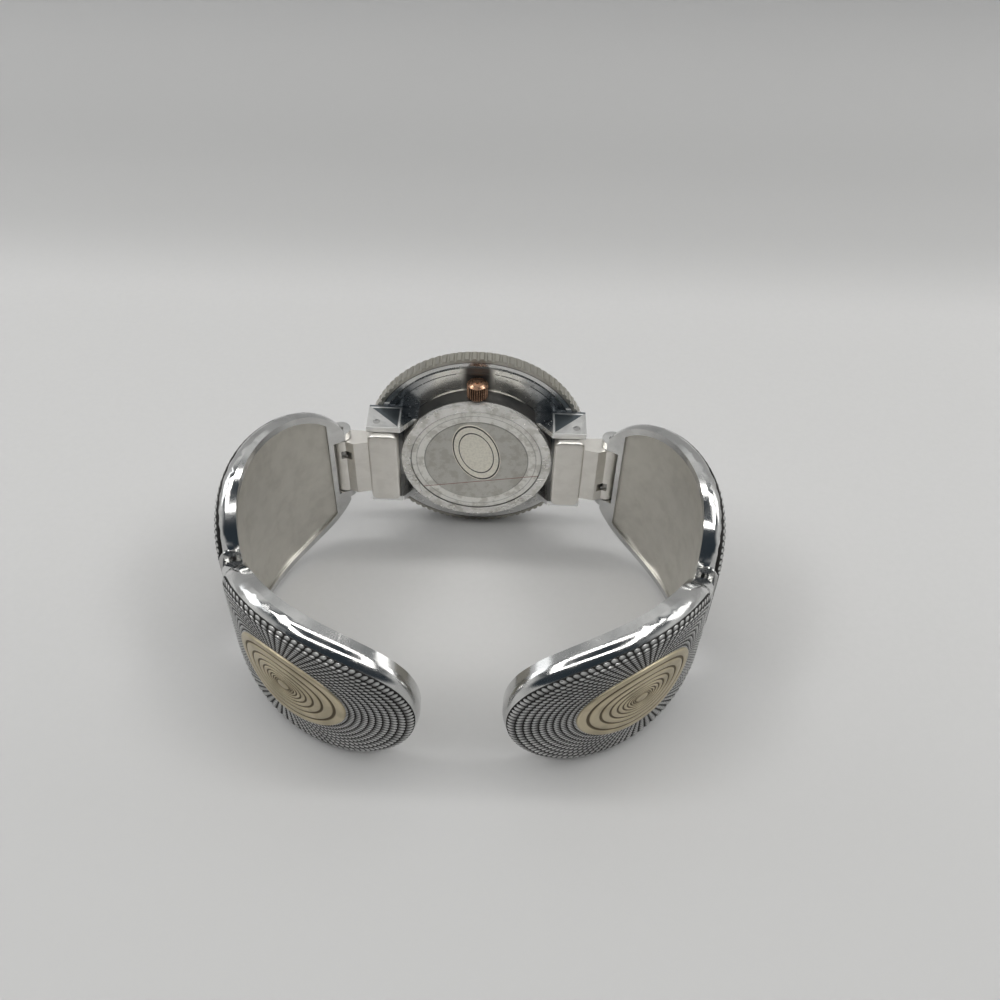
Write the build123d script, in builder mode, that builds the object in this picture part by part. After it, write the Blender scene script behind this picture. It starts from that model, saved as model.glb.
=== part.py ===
"""Cuff watch: a round case on two hinged, spring-closed bracelet halves of domed panels.

Frame: the origin is the centre of the case back's outer face, on the case axis. +Y runs
out through the dial, -Y into the wrist opening, and +Z runs out through the crown. The two
halves lie to +X and -X. Lengths are in millimetres, angles in degrees. The left half is
the right half turned half round the case axis, as the real pieces are.
"""
import math
import os

from build123d import *

os.makedirs("parts", exist_ok=True)

# General fits
cut_overrun = 1.0
seat_gap = 0.02
running_gap = 0.05
side_gap = 0.15

# Case middle with its flange; the case radius leads every other radius of the head
case_radius = 12.3
case_wall = 1.4
flange_reach = 4.15
flange_proud = 0.25
flange_height = 1.4
flange_step_share = 0.7
flange_step_width = 0.35
flange_step_height = 0.12
dial_overlap = 1.3
dial_thickness = 0.4
dial_hole = 1.2

# Case back, with its rim face at height zero
back_inset = 0.1
back_thickness = 0.9
back_rim_width = 1.5
back_field_depth = 0.15
back_snap_wall = 0.8
back_snap_height = 0.5
back_ring_share = 0.705
back_ring_width = 0.25
back_ring_depth = 0.08
back_lip_width = 2.4
back_lip_depth = 0.35
back_gasket_width = 0.35
back_gasket_height = 0.35
label_length = 12.4
label_width = 7.4
label_thickness = 0.1
label_lean_angle = 16
label_rise = 1.9

# Bezel with its coin edge
bezel_rear = 4.0
bezel_wall = 1.53
bezel_band = 1.9
bezel_slope_rise = 2.1
bezel_slope_run = 2.1
bezel_ledge_step = 0.3
bezel_ledge_rise = 3.0
bezel_flutes = 96
bezel_flute_depth = 0.28

# Crystal, gasket, chapter ring, dial furniture
crystal_seat = 0.55
crystal_edge = 1.0
crystal_dome = 0.5
gasket_width = 0.4
gasket_height = 0.8
chapter_foot = 0.95
chapter_top = 0.45
chapter_gap = 0.1
marker_inset = 1.0
marker_ring_width = 0.5
marker_length = 1.9
marker_width = 0.55
marker_thickness = 0.12

# Hands and their arbors, stacked above the dial; the lengths are shares of its radius
second_arbor_radius = 0.25
cannon_wall = 0.35
hour_tube_wall = 0.3
hour_tube_rise = 0.75
cannon_rise = 1.1
second_rise = 1.45
arbor_foot = 2.1
hand_thickness = 0.15
hour_hand_share = 0.544
hour_hand_width = 1.3
hour_tail_length = 2.2
hour_hub_radius = 1.5
minute_hand_share = 0.809
minute_hand_width = 1.0
minute_tail_length = 2.2
minute_hub_radius = 1.2
second_hand_share = 0.868
second_hand_width = 0.3
second_hub_radius = 0.8
second_tail_length = 3.2
hour_wheel_thickness = 0.2
cannon_wheel_thickness = 0.35

# Movement; plan sizes and places under the main plate are shares of its radius
holder_gap = 0.1
holder_wall = 1.5
holder_rear = 2.0
plate_thickness = 1.0
hour_wheel_share = 0.206
cannon_wheel_share = 0.12
battery_share = 0.315
battery_thickness = 1.6
battery_x_share = -0.576
battery_z_share = -0.326
bridge_share = 0.326
bridge_thickness = 0.4
bridge_post_share = 0.042
coil_share = 0.0924
coil_length_share = 0.674
coil_x_share = 0.696
coil_z_share = -0.109
coil_core_width_share = 0.12
coil_core_length_share = 0.913
board_length_share = 0.56
board_width_share = 0.326
board_thickness = 0.3
board_x_share = 0.261
board_z_share = -0.674
stator_length_share = 0.37
stator_width_share = 0.174
stator_thickness = 0.35
stator_z_share = 0.5

# Crown and stem
crown_radius = 1.65
crown_clearance = 0.2
crown_gap = 0.32
crown_knurl = 2.25
crown_dome = 0.35
crown_nub_radius = 0.45
crown_nub_rise = 0.15
crown_flutes = 30
crown_flute_depth = 0.14
crown_bore = 0.9
crown_bore_depth = 1.3
tube_outer = 0.75
tube_inner = 0.45
tube_proud = 0.6
stem_radius = 0.4
stem_inner_share = 0.33
stem_groove_radius = 0.25
stem_groove_width = 0.5
stem_groove_share = 0.734
stem_pinion_radius = 0.8
stem_pinion_length = 1.3
stem_pinion_share = 0.477
lever_width = 1.7
lever_height = 1.7
lever_thickness = 0.3
stem_channel_width = 2.2

# Lugs and spring bars
lug_gap = 0.12
lug_thickness = 0.98
lug_margin = 1.5
lug_rear = -1.4
lug_heel_inset = 0.3
lug_buttress_rise = 2.7
bar_offset = 3.5
bar_y = 0.0
bar_radius = 0.75
bar_shoulder_inset = 0.3
bar_tip_radius = 0.5
bar_tip_inset = 0.1

# End link: a block between the lugs and a neck out to the hinge, placed from the spring bar
block_gap = 0.18
block_outer_run = 1.35
block_rear = -2.4
block_half = 7.0
block_corner = 1.0
block_round = 0.35
block_front = 1.6
block_shoulder = 0.2
block_nose_inner_run = 0.9
block_nose_outer_run = 0.8
neck_half = 5.4
neck_root_rear = -2.0
neck_vertex_run = 3.6
neck_vertex_y = -2.55
neck_shoulder_run = 5.1
neck_shoulder_y = -1.95
neck_front = 0.75

# Hinges
hinge_reach = 5.73
hinge_drop = 0.626
knuckle_radius = 1.6
knuckle_gap = 0.45
hinge_pin_radius = 0.5
spring_outer = 1.05
spring_inner = 0.62
spring_length = 1.3
spring_wire = 0.36
spring_pocket_gap = 0.12
spring_slot_length = 1.7
spring_height = 2.6
tab_height = 1.35
pin_inset = 0.35

# Panels: walls and covers
side_wall = 1.1
front_wall = 0.9
ledge_width = 0.5
cover_recess = 0.4
cover_thickness = 0.6
end_wall = 0.8
rim_round = 2.3

# Medallions, with oval grooves that close up towards the middle
medallion_height = 0.5
medallion_grooves = 4
groove_width = 0.16
groove_depth = 0.2
groove_outer_share = 0.84
groove_step_share = 0.77

# Inner panel: its plan arc, the tangents of its half spread and its half height
inner_radius = 22.2
inner_thickness = 3.2
inner_hinge_angle = 61.95
inner_mid_angle = 25.3
inner_start_share = 0.87
inner_end_share = 0.93
inner_half = 14.8
inner_medallion_angle = 23.0
inner_medallion_length = 22.0
inner_medallion_width = 15.6

# Outer panel: the same, from the middle joint to the free end
joint_angle = -18.49
joint_inset = 0.305
outer_radius = 26.0
outer_thickness = 3.6
outer_hinge_angle = -20.6
outer_mid_angle = -58.0
outer_start_share = 0.88
outer_end_share = 0.69
outer_half = 12.4
outer_tongue_half = 4.0
outer_medallion_angle = -55.0
outer_medallion_length = 19.2
outer_medallion_width = 13.2

# Radii and heights of the head, worked out from the case radius and the bezel's rear face
case_bore = case_radius - case_wall
case_rear = back_thickness
flange_radius = case_radius + flange_reach
flange_rear = bezel_rear - flange_proud
flange_top = bezel_rear + flange_height
flange_step_radius = case_radius + flange_reach * flange_step_share
dial_radius = case_radius + dial_overlap
dial_top = flange_top
dial_bottom = dial_top - dial_thickness
flange_rim_inner = dial_radius + seat_gap
bezel_bore = flange_radius + seat_gap
bezel_radius = bezel_bore + bezel_wall
bezel_top_radius = bezel_radius - bezel_slope_run
bezel_top = bezel_rear + bezel_band + bezel_slope_rise
bezel_ledge_radius = dial_radius + bezel_ledge_step
bezel_ledge_top = bezel_rear + bezel_ledge_rise
crystal_radius = bezel_ledge_radius + crystal_seat
crystal_bore = crystal_radius + gasket_width + 2 * seat_gap
chapter_height = bezel_ledge_top - dial_top - chapter_gap
marker_ring_outer = dial_radius - marker_inset
back_radius = case_radius - back_inset
back_snap_radius = case_bore - side_gap
back_ring_radius = back_radius * back_ring_share
snap_top = back_thickness + back_snap_height
crown_base = case_radius + crown_gap
crown_height = flange_rear - crown_radius - crown_clearance
tube_reach = case_radius + tube_proud

# Movement under the dial
stem_inner_end = case_bore * stem_inner_share
stem_groove_z = case_bore * stem_groove_share
stem_pinion_z = case_bore * stem_pinion_share
holder_outer = case_bore - holder_gap
plate_radius = holder_outer - holder_wall - holder_gap
plate_top = dial_bottom - seat_gap
plate_bottom = plate_top - plate_thickness
hour_wheel_radius = plate_radius * hour_wheel_share
cannon_wheel_radius = plate_radius * cannon_wheel_share
battery_radius = plate_radius * battery_share
battery_x = plate_radius * battery_x_share
battery_z = plate_radius * battery_z_share
bridge_radius = plate_radius * bridge_share
bridge_post_radius = plate_radius * bridge_post_share
coil_radius = plate_radius * coil_share
coil_length = plate_radius * coil_length_share
coil_x = plate_radius * coil_x_share
coil_z = plate_radius * coil_z_share
coil_core_width = plate_radius * coil_core_width_share
coil_core_length = plate_radius * coil_core_length_share
board_length = plate_radius * board_length_share
board_width = plate_radius * board_width_share
board_x = plate_radius * board_x_share
board_z = plate_radius * board_z_share
stator_length = plate_radius * stator_length_share
stator_width = plate_radius * stator_width_share
stator_z = plate_radius * stator_z_share
hour_hand_length = dial_radius * hour_hand_share
minute_hand_length = dial_radius * minute_hand_share
second_hand_length = dial_radius * second_hand_share

# Lugs, spring bar and end link
bar_x = case_radius + bar_offset
bar_shoulder = block_half - bar_shoulder_inset
lug_inner_z = block_half + lug_gap
lug_outer_z = lug_inner_z + lug_thickness
bar_tip_reach = lug_outer_z - bar_tip_inset
lug_reach = bar_x + lug_margin
lug_heel = case_radius - lug_heel_inset
lug_root = math.sqrt(((case_bore + case_radius) / 2) ** 2 - lug_inner_z**2)
lug_throat = math.sqrt(back_radius**2 - lug_inner_z**2) + side_gap
lug_hole_radius = bar_tip_radius + running_gap
block_bore = bar_radius + running_gap
block_inner_x = case_radius + block_gap
block_outer_x = bar_x + block_outer_run
block_nose_inner = bar_x - block_nose_inner_run
block_nose_outer = bar_x + block_nose_outer_run
neck_vertex_x = bar_x + neck_vertex_run
neck_shoulder_x = bar_x + neck_shoulder_run

# Panels: each arc is hung from its hinge, so the joints stay put when a radius changes
hinge_bore = hinge_pin_radius + running_gap
knuckle_reach = knuckle_radius + knuckle_gap
inner_outer = inner_radius + inner_thickness
inner_pitch = inner_radius + inner_thickness / 2
outer_outer = outer_radius + outer_thickness
outer_pitch = outer_radius + outer_thickness / 2
joint_pitch = inner_pitch - joint_inset


def dial_plane(height):
    """Plane across the case axis at a height: x to the crown, y to twelve o'clock."""
    return Plane(origin=(0, height, 0), x_dir=(0, 0, 1), z_dir=(0, 1, 0))


def stem_plane(reach):
    """Plane across the crown's axis at a distance from the case axis."""
    return Plane(origin=(0, crown_height, reach), x_dir=(1, 0, 0), z_dir=(0, 0, 1))


def outline(*points):
    """Fill the polygon through the points in the sketch at hand."""
    with BuildLine() as loop:
        Polyline(*points, close=True)
    make_face(loop.edges())


def polar(centre, radius, angle):
    """Plan point at a radius and an angle about a centre."""
    turn = math.radians(angle)
    return (centre[0] + radius * math.cos(turn), centre[1] + radius * math.sin(turn))


def arc_degrees(length, radius):
    """Angle that an arc of a given length spans."""
    return math.degrees(length / radius)


def band(centre, inner, outer, start, end):
    """Fill the stretch of a ring between two radii and two angles."""
    with BuildLine() as loop:
        CenterArc(centre, outer, start, end - start)
        CenterArc(centre, inner, start, end - start)
        Line(polar(centre, inner, start), polar(centre, outer, start))
        Line(polar(centre, inner, end), polar(centre, outer, end))
    make_face(loop.edges())


def spread(centre, mid, near, far, start_share, end_share, half, inset, share):
    """Oval wedge that opens from the plan centre and limits a panel all round.

    start_share and end_share are its half widths per unit of distance, half is its half
    height, inset draws it in evenly and share scales it about its middle.
    """
    turn = math.radians(mid)
    with BuildPart() as wedge:
        for reach in (near, far):
            at = polar(centre, reach, mid)
            across = Plane(
                origin=(at[0], at[1], 0),
                x_dir=(math.sin(turn), -math.cos(turn), 0),
                z_dir=(math.cos(turn), math.sin(turn), 0),
            )
            with BuildSketch(across):
                with BuildLine():
                    EllipticalCenterArc(
                        (0, 0),
                        (end_share * reach - inset) * share,
                        (half - inset) * share,
                        -90,
                        arc_size=180,
                    )
                    EllipticalCenterArc(
                        (0, 0),
                        (start_share * reach - inset) * share,
                        (half - inset) * share,
                        90,
                        arc_size=180,
                    )
                make_face()
        loft(ruled=True)
    return wedge.part


# Case middle: drum, flange, stem hole and four lugs
with BuildPart() as lug:
    with BuildSketch(Plane.XY.offset(lug_inner_z)):
        outline(
            (lug_root, case_rear + seat_gap),
            (lug_throat, case_rear + seat_gap),
            (lug_heel, lug_rear),
            (lug_reach, lug_rear),
            (lug_reach, bezel_rear - seat_gap),
            (lug_root, bezel_rear - seat_gap),
        )
    extrude(amount=lug_outer_z - lug_inner_z)
    with BuildSketch(Plane.XY.offset(lug_outer_z)) as buttress_foot:
        outline(
            (lug_root, case_rear + seat_gap),
            (lug_throat, case_rear + seat_gap),
            (lug_heel, lug_rear),
            (lug_reach, flange_rear),
            (lug_root, flange_rear),
        )
    buttress_tip = Vertex(lug_heel, flange_rear, lug_outer_z + lug_buttress_rise)
    loft(sections=[buttress_foot.sketch, buttress_tip], ruled=True)
    with BuildSketch(Plane.XY.offset(lug_inner_z - cut_overrun)):
        with Locations((bar_x, bar_y)):
            Circle(lug_hole_radius)
    extrude(amount=lug_outer_z - lug_inner_z + 2 * cut_overrun, mode=Mode.SUBTRACT)

with BuildPart() as case_middle:
    with BuildSketch(Plane.XY):
        outline(
            (case_bore, case_rear),
            (case_radius, case_rear),
            (case_radius, flange_rear),
            (flange_step_radius, flange_rear),
            (flange_step_radius, flange_rear - flange_step_height),
            (flange_step_radius + flange_step_width, flange_rear - flange_step_height),
            (flange_step_radius + flange_step_width, flange_rear),
            (flange_radius, flange_rear),
            (flange_radius, flange_top),
            (flange_rim_inner, flange_top),
            (flange_rim_inner, dial_bottom),
            (case_bore, dial_bottom),
        )
    revolve(axis=Axis.Y)
    add(lug.part)
    mirror(lug.part, about=Plane.XY)
    mirror(lug.part, about=Plane.YZ)
    add(lug.part, rotation=(0, 180, 0))
    with BuildSketch(stem_plane(case_bore - cut_overrun)):
        Circle(tube_outer + seat_gap)
    extrude(amount=case_radius - case_bore + 2 * cut_overrun, mode=Mode.SUBTRACT)
    with BuildSketch(dial_plane(case_rear)):
        Circle(case_bore)
    extrude(amount=dial_bottom - case_rear, mode=Mode.SUBTRACT)
case_middle.part.label = "case_middle"
export_step(case_middle.part, "parts/case_middle.step")

# Bezel: a band with a coin edge, a slope up to the crystal and a ledge under it
with BuildPart() as bezel:
    with BuildSketch(Plane.XY):
        outline(
            (bezel_bore, bezel_rear),
            (bezel_radius, bezel_rear),
            (bezel_radius, bezel_rear + bezel_band),
            (bezel_top_radius, bezel_top),
            (crystal_bore, bezel_top),
            (crystal_bore, bezel_ledge_top),
            (bezel_ledge_radius, bezel_ledge_top),
            (bezel_ledge_radius, flange_top + running_gap),
            (bezel_bore, flange_top + running_gap),
        )
    revolve(axis=Axis.Y)
    with BuildSketch(dial_plane(bezel_rear - cut_overrun)):
        with PolarLocations(bezel_radius, bezel_flutes):
            Circle(bezel_flute_depth)
    extrude(amount=bezel_band + bezel_slope_rise + cut_overrun, mode=Mode.SUBTRACT)
bezel.part.label = "bezel"
export_step(bezel.part, "parts/bezel.step")

# Chapter ring between the dial and the crystal
with BuildPart() as chapter_ring:
    with BuildSketch(Plane.XY):
        outline(
            (bezel_ledge_radius - running_gap - chapter_foot, dial_top),
            (bezel_ledge_radius - running_gap, dial_top),
            (bezel_ledge_radius - running_gap, dial_top + chapter_height),
            (bezel_ledge_radius - running_gap - chapter_top, dial_top + chapter_height),
        )
    revolve(axis=Axis.Y)
chapter_ring.part.label = "chapter_ring"
export_step(chapter_ring.part, "parts/chapter_ring.step")

# Crystal with a low dome, and its gasket
with BuildPart() as crystal:
    with BuildSketch(Plane.XY):
        with BuildLine():
            Polyline(
                (0, bezel_ledge_top + crystal_edge + crystal_dome),
                (0, bezel_ledge_top),
                (crystal_radius, bezel_ledge_top),
                (crystal_radius, bezel_ledge_top + crystal_edge),
            )
            TangentArc(
                (0, bezel_ledge_top + crystal_edge + crystal_dome),
                (crystal_radius, bezel_ledge_top + crystal_edge),
                tangent=(1, 0),
            )
        make_face()
    revolve(axis=Axis.Y)
crystal.part.label = "crystal"
export_step(crystal.part, "parts/crystal.step")

with BuildPart() as crystal_gasket:
    with BuildSketch(dial_plane(bezel_ledge_top)):
        Circle(crystal_bore - seat_gap)
        Circle(crystal_radius + seat_gap, mode=Mode.SUBTRACT)
    extrude(amount=gasket_height)
crystal_gasket.part.label = "crystal_gasket"
export_step(crystal_gasket.part, "parts/crystal_gasket.step")

# Dial and the raised track with its twelve markers
with BuildPart() as dial:
    with BuildSketch(dial_plane(dial_bottom)):
        Circle(dial_radius)
        Circle(dial_hole, mode=Mode.SUBTRACT)
    extrude(amount=dial_thickness)
dial.part.label = "dial"
export_step(dial.part, "parts/dial.step")

marker_inner = marker_ring_outer - marker_ring_width
with BuildPart() as hour_markers:
    with BuildSketch(dial_plane(dial_top)):
        Circle(marker_ring_outer)
        Circle(marker_inner, mode=Mode.SUBTRACT)
        with PolarLocations(marker_inner - marker_length / 2 + marker_ring_width / 2, 12):
            Rectangle(marker_length + marker_ring_width, marker_width)
    extrude(amount=marker_thickness)
hour_markers.part.label = "hour_markers"
export_step(hour_markers.part, "parts/hour_markers.step")


def hand(level, length, width, hub, tail, bore):
    """Flat tapered hand with a round hub that points to twelve."""
    with BuildPart() as blank:
        with BuildSketch(dial_plane(level)):
            outline(
                (-width / 2, 0),
                (-width / 4, length),
                (width / 4, length),
                (width / 2, 0),
                (width / 2, -tail),
                (-width / 2, -tail),
            )
            Circle(hub)
            Circle(bore, mode=Mode.SUBTRACT)
        extrude(amount=hand_thickness)
    return blank.part


# Hands, each pressed on its own tube or arbor, and the wheels below the dial
cannon_bore = second_arbor_radius + running_gap
cannon_radius = cannon_bore + cannon_wall
hour_tube_bore = cannon_radius + running_gap
hour_tube_radius = hour_tube_bore + hour_tube_wall
hour_level = dial_top + hour_tube_rise - hand_thickness
minute_level = dial_top + cannon_rise - hand_thickness
second_level = dial_top + second_rise - hand_thickness
hour_wheel_bottom = plate_bottom - running_gap - hour_wheel_thickness
cannon_foot = hour_wheel_bottom - running_gap - cannon_wheel_thickness

with BuildPart() as hour_hand:
    add(
        hand(
            hour_level,
            hour_hand_length,
            hour_hand_width,
            hour_hub_radius,
            hour_tail_length,
            hour_tube_radius,
        )
    )
hour_hand.part.label = "hour_hand"
export_step(hour_hand.part, "parts/hour_hand.step")

with BuildPart() as minute_hand:
    add(
        hand(
            minute_level,
            minute_hand_length,
            minute_hand_width,
            minute_hub_radius,
            minute_tail_length,
            cannon_radius,
        )
    )
minute_hand.part.label = "minute_hand"
export_step(minute_hand.part, "parts/minute_hand.step")

with BuildPart() as second_hand:
    add(
        hand(
            second_level,
            second_hand_length,
            second_hand_width,
            second_hub_radius,
            second_tail_length,
            second_arbor_radius,
        )
    )
second_hand.part.label = "second_hand"
export_step(second_hand.part, "parts/second_hand.step")

with BuildPart() as hour_wheel:
    with BuildSketch(dial_plane(hour_wheel_bottom)):
        Circle(hour_wheel_radius)
    extrude(amount=hour_wheel_thickness)
    with BuildSketch(dial_plane(hour_wheel_bottom)):
        Circle(hour_tube_radius)
    extrude(amount=hour_level + hand_thickness - hour_wheel_bottom)
    with BuildSketch(dial_plane(hour_wheel_bottom - cut_overrun)):
        Circle(hour_tube_bore)
    extrude(amount=hour_level + hand_thickness - hour_wheel_bottom + 2 * cut_overrun, mode=Mode.SUBTRACT)
hour_wheel.part.label = "hour_wheel"
export_step(hour_wheel.part, "parts/hour_wheel.step")

with BuildPart() as cannon_pinion:
    with BuildSketch(dial_plane(cannon_foot)):
        Circle(cannon_wheel_radius)
    extrude(amount=cannon_wheel_thickness)
    with BuildSketch(dial_plane(cannon_foot)):
        Circle(cannon_radius)
    extrude(amount=minute_level + hand_thickness - cannon_foot)
    with BuildSketch(dial_plane(cannon_foot - cut_overrun)):
        Circle(cannon_bore)
    extrude(amount=minute_level + hand_thickness - cannon_foot + 2 * cut_overrun, mode=Mode.SUBTRACT)
cannon_pinion.part.label = "cannon_pinion"
export_step(cannon_pinion.part, "parts/cannon_pinion.step")

with BuildPart() as second_arbor:
    with BuildSketch(dial_plane(arbor_foot)):
        Circle(second_arbor_radius)
    extrude(amount=second_level + hand_thickness - arbor_foot)
second_arbor.part.label = "second_arbor"
export_step(second_arbor.part, "parts/second_arbor.step")

# Movement: a plastic holder ring with a channel for the stem, and the main plate
with BuildPart() as movement_holder:
    with BuildSketch(dial_plane(holder_rear)):
        Circle(holder_outer)
        Circle(holder_outer - holder_wall, mode=Mode.SUBTRACT)
    extrude(amount=plate_top - holder_rear)
    with BuildSketch(stem_plane(0)):
        Rectangle(stem_channel_width, 2 * plate_bottom)
    extrude(amount=holder_outer + cut_overrun, mode=Mode.SUBTRACT)
movement_holder.part.label = "movement_holder"
export_step(movement_holder.part, "parts/movement_holder.step")

with BuildPart() as main_plate:
    with BuildSketch(dial_plane(plate_bottom)):
        Circle(plate_radius)
        Circle(hour_tube_radius + running_gap, mode=Mode.SUBTRACT)
    extrude(amount=plate_thickness)
main_plate.part.label = "main_plate"
export_step(main_plate.part, "parts/main_plate.step")

# Battery, coil, stator and circuit board hang under the main plate
with BuildPart() as battery:
    with BuildSketch(dial_plane(plate_bottom - seat_gap - battery_thickness)):
        with Locations((battery_z, battery_x)):
            Circle(battery_radius)
    extrude(amount=battery_thickness)
battery.part.label = "battery"
export_step(battery.part, "parts/battery.step")

coil_height = plate_bottom - seat_gap - coil_radius
with BuildPart() as coil:
    with BuildSketch(Plane.XY.offset(coil_z)):
        with Locations((coil_x, coil_height)):
            Circle(coil_radius)
    extrude(amount=coil_length / 2, both=True)
    with BuildSketch(Plane.XY.offset(coil_z)):
        with Locations((coil_x, coil_height)):
            Rectangle(coil_core_width, coil_core_width)
    extrude(amount=coil_core_length / 2, both=True)
coil.part.label = "coil"
export_step(coil.part, "parts/coil.step")

with BuildPart() as stator:
    with BuildSketch(dial_plane(plate_bottom - seat_gap - stator_thickness)):
        with Locations((stator_z, coil_x - coil_core_width - stator_length / 2)):
            Rectangle(stator_width, stator_length)
            Circle(stator_width / 4, mode=Mode.SUBTRACT)
    extrude(amount=stator_thickness)
stator.part.label = "stator"
export_step(stator.part, "parts/stator.step")

with BuildPart() as circuit_board:
    with BuildSketch(dial_plane(plate_bottom - seat_gap - board_thickness)):
        with Locations((board_z, board_x)):
            Rectangle(board_width, board_length)
    extrude(amount=board_thickness)
circuit_board.part.label = "circuit_board"
export_step(circuit_board.part, "parts/circuit_board.step")

# Train bridge on two posts, with the bearing for the seconds arbor
bridge_top = cannon_foot - running_gap
bridge_post_place = bridge_radius - bridge_post_radius - side_gap
with BuildPart() as train_bridge:
    with BuildSketch(dial_plane(bridge_top - bridge_thickness)):
        Circle(bridge_radius)
        Circle(second_arbor_radius + running_gap, mode=Mode.SUBTRACT)
    extrude(amount=bridge_thickness)
    with BuildSketch(dial_plane(bridge_top)):
        with Locations((0, bridge_post_place), (0, -bridge_post_place)):
            Circle(bridge_post_radius)
    extrude(amount=plate_bottom - bridge_top)
train_bridge.part.label = "train_bridge"
export_step(train_bridge.part, "parts/train_bridge.step")

# Case back: rim face at height zero, a shallow field, a groove and a snap ring inside
with BuildPart() as case_back:
    with BuildSketch(Plane.XY):
        outline(
            (0, back_field_depth),
            (back_radius - back_rim_width, back_field_depth),
            (back_radius - back_rim_width, 0),
            (back_radius, 0),
            (back_radius, back_thickness),
            (back_snap_radius, back_thickness),
            (back_snap_radius, snap_top),
            (back_snap_radius - back_snap_wall, snap_top),
            (back_snap_radius - back_snap_wall, back_thickness),
            (0, back_thickness),
        )
    revolve(axis=Axis.Y)
    with BuildSketch(dial_plane(back_field_depth)):
        Circle(back_ring_radius)
        Circle(back_ring_radius - back_ring_width, mode=Mode.SUBTRACT)
    extrude(amount=back_ring_depth, mode=Mode.SUBTRACT)
    with BuildSketch(dial_plane(back_thickness)):
        with Locations((-back_radius, 0)):
            Rectangle(2 * back_lip_depth, back_lip_width)
    extrude(amount=-back_lip_depth, mode=Mode.SUBTRACT)
case_back.part.label = "case_back"
export_step(case_back.part, "parts/case_back.step")

with BuildPart() as back_gasket:
    with BuildSketch(dial_plane(snap_top + seat_gap)):
        Circle(case_bore - seat_gap)
        Circle(case_bore - seat_gap - back_gasket_width, mode=Mode.SUBTRACT)
    extrude(amount=-back_gasket_height)
    with BuildSketch(dial_plane(snap_top + seat_gap)):
        Circle(back_snap_radius + seat_gap)
    extrude(amount=-back_gasket_height, mode=Mode.SUBTRACT)
back_gasket.part.label = "back_gasket"
export_step(back_gasket.part, "parts/back_gasket.step")

with BuildPart() as back_label:
    with BuildSketch(Plane(origin=(0, back_field_depth, label_rise), x_dir=(1, 0, 0), z_dir=(0, -1, 0))):
        Ellipse(label_width / 2, label_length / 2, rotation=label_lean_angle)
    extrude(amount=label_thickness)
back_label.part.label = "back_label"
export_step(back_label.part, "parts/back_label.step")

# Crown tube in the case wall
tube_start = case_bore + seat_gap
with BuildPart() as crown_tube:
    with BuildSketch(stem_plane(tube_start)):
        Circle(tube_outer)
        Circle(tube_inner, mode=Mode.SUBTRACT)
    extrude(amount=tube_reach - tube_start)
crown_tube.part.label = "crown_tube"
export_step(crown_tube.part, "parts/crown_tube.step")

# Crown: fluted sides, a low dome with a centre nub, and a well for the tube
crown_plan = Plane(origin=(0, crown_height, 0), x_dir=(1, 0, 0), z_dir=(0, -1, 0))
crown_axis = Axis((0, crown_height, 0), (0, 0, 1))
crown_shoulder = crown_base + crown_knurl
with BuildPart() as crown:
    with BuildSketch(stem_plane(crown_base)):
        Circle(crown_radius)
        with PolarLocations(crown_radius, crown_flutes):
            Circle(crown_flute_depth, mode=Mode.SUBTRACT)
    extrude(amount=crown_knurl)
    with BuildSketch(crown_plan):
        outline(
            (0, crown_shoulder),
            (crown_radius - crown_flute_depth, crown_shoulder),
            ((crown_radius + crown_nub_radius) / 2, crown_shoulder + crown_dome * 3 / 4),
            (crown_nub_radius, crown_shoulder + crown_dome),
            (crown_nub_radius, crown_shoulder + crown_dome + crown_nub_rise),
            (0, crown_shoulder + crown_dome + crown_nub_rise),
        )
    revolve(axis=crown_axis)
    with BuildSketch(stem_plane(crown_base)):
        Circle(crown_bore)
    extrude(amount=crown_bore_depth, mode=Mode.SUBTRACT)
    with BuildSketch(stem_plane(crown_base + crown_bore_depth)):
        Circle(stem_radius)
    extrude(amount=crown_knurl - crown_bore_depth, mode=Mode.SUBTRACT)
crown.part.label = "crown"
export_step(crown.part, "parts/crown.step")

# Winding stem with a groove for the setting lever, and its pinion
with BuildPart() as stem:
    with BuildSketch(stem_plane(stem_inner_end)):
        Circle(stem_radius)
    extrude(amount=crown_shoulder - stem_inner_end)
    with BuildSketch(stem_plane(stem_groove_z - stem_groove_width / 2)):
        Circle(stem_radius + cut_overrun)
        Circle(stem_groove_radius, mode=Mode.SUBTRACT)
    extrude(amount=stem_groove_width, mode=Mode.SUBTRACT)
stem.part.label = "stem"
export_step(stem.part, "parts/stem.step")

with BuildPart() as stem_pinion:
    with BuildSketch(stem_plane(stem_pinion_z)):
        Circle(stem_pinion_radius)
        Circle(stem_radius + seat_gap, mode=Mode.SUBTRACT)
        with PolarLocations(stem_pinion_radius, 8):
            Circle(stem_pinion_radius / 5, mode=Mode.SUBTRACT)
    extrude(amount=stem_pinion_length)
stem_pinion.part.label = "stem_pinion"
export_step(stem_pinion.part, "parts/stem_pinion.step")

with BuildPart() as setting_lever:
    with BuildSketch(stem_plane(stem_groove_z - lever_thickness / 2)):
        Rectangle(lever_width, lever_height)
        SlotCenterToCenter(
            2 * lever_height, 2 * (stem_groove_radius + running_gap), rotation=90, mode=Mode.SUBTRACT
        )
        with Locations((0, -lever_height * 3 / 8)):
            Rectangle(lever_width, lever_height / 4)
    extrude(amount=lever_thickness)
setting_lever.part.label = "setting_lever"
export_step(setting_lever.part, "parts/setting_lever.step")

# Right-hand pieces, kept in a list so that the left ones follow from them
side_pieces = []

# Spring bar through the lugs and the end link
with BuildPart() as spring_bar:
    with BuildSketch(Plane.XY):
        with Locations((bar_x, bar_y)):
            Circle(bar_radius)
    extrude(amount=bar_shoulder, both=True)
    with BuildSketch(Plane.XY):
        with Locations((bar_x, bar_y)):
            Circle(bar_tip_radius)
    extrude(amount=bar_tip_reach, both=True)
side_pieces.append(("spring_bar", spring_bar.part))

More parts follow.
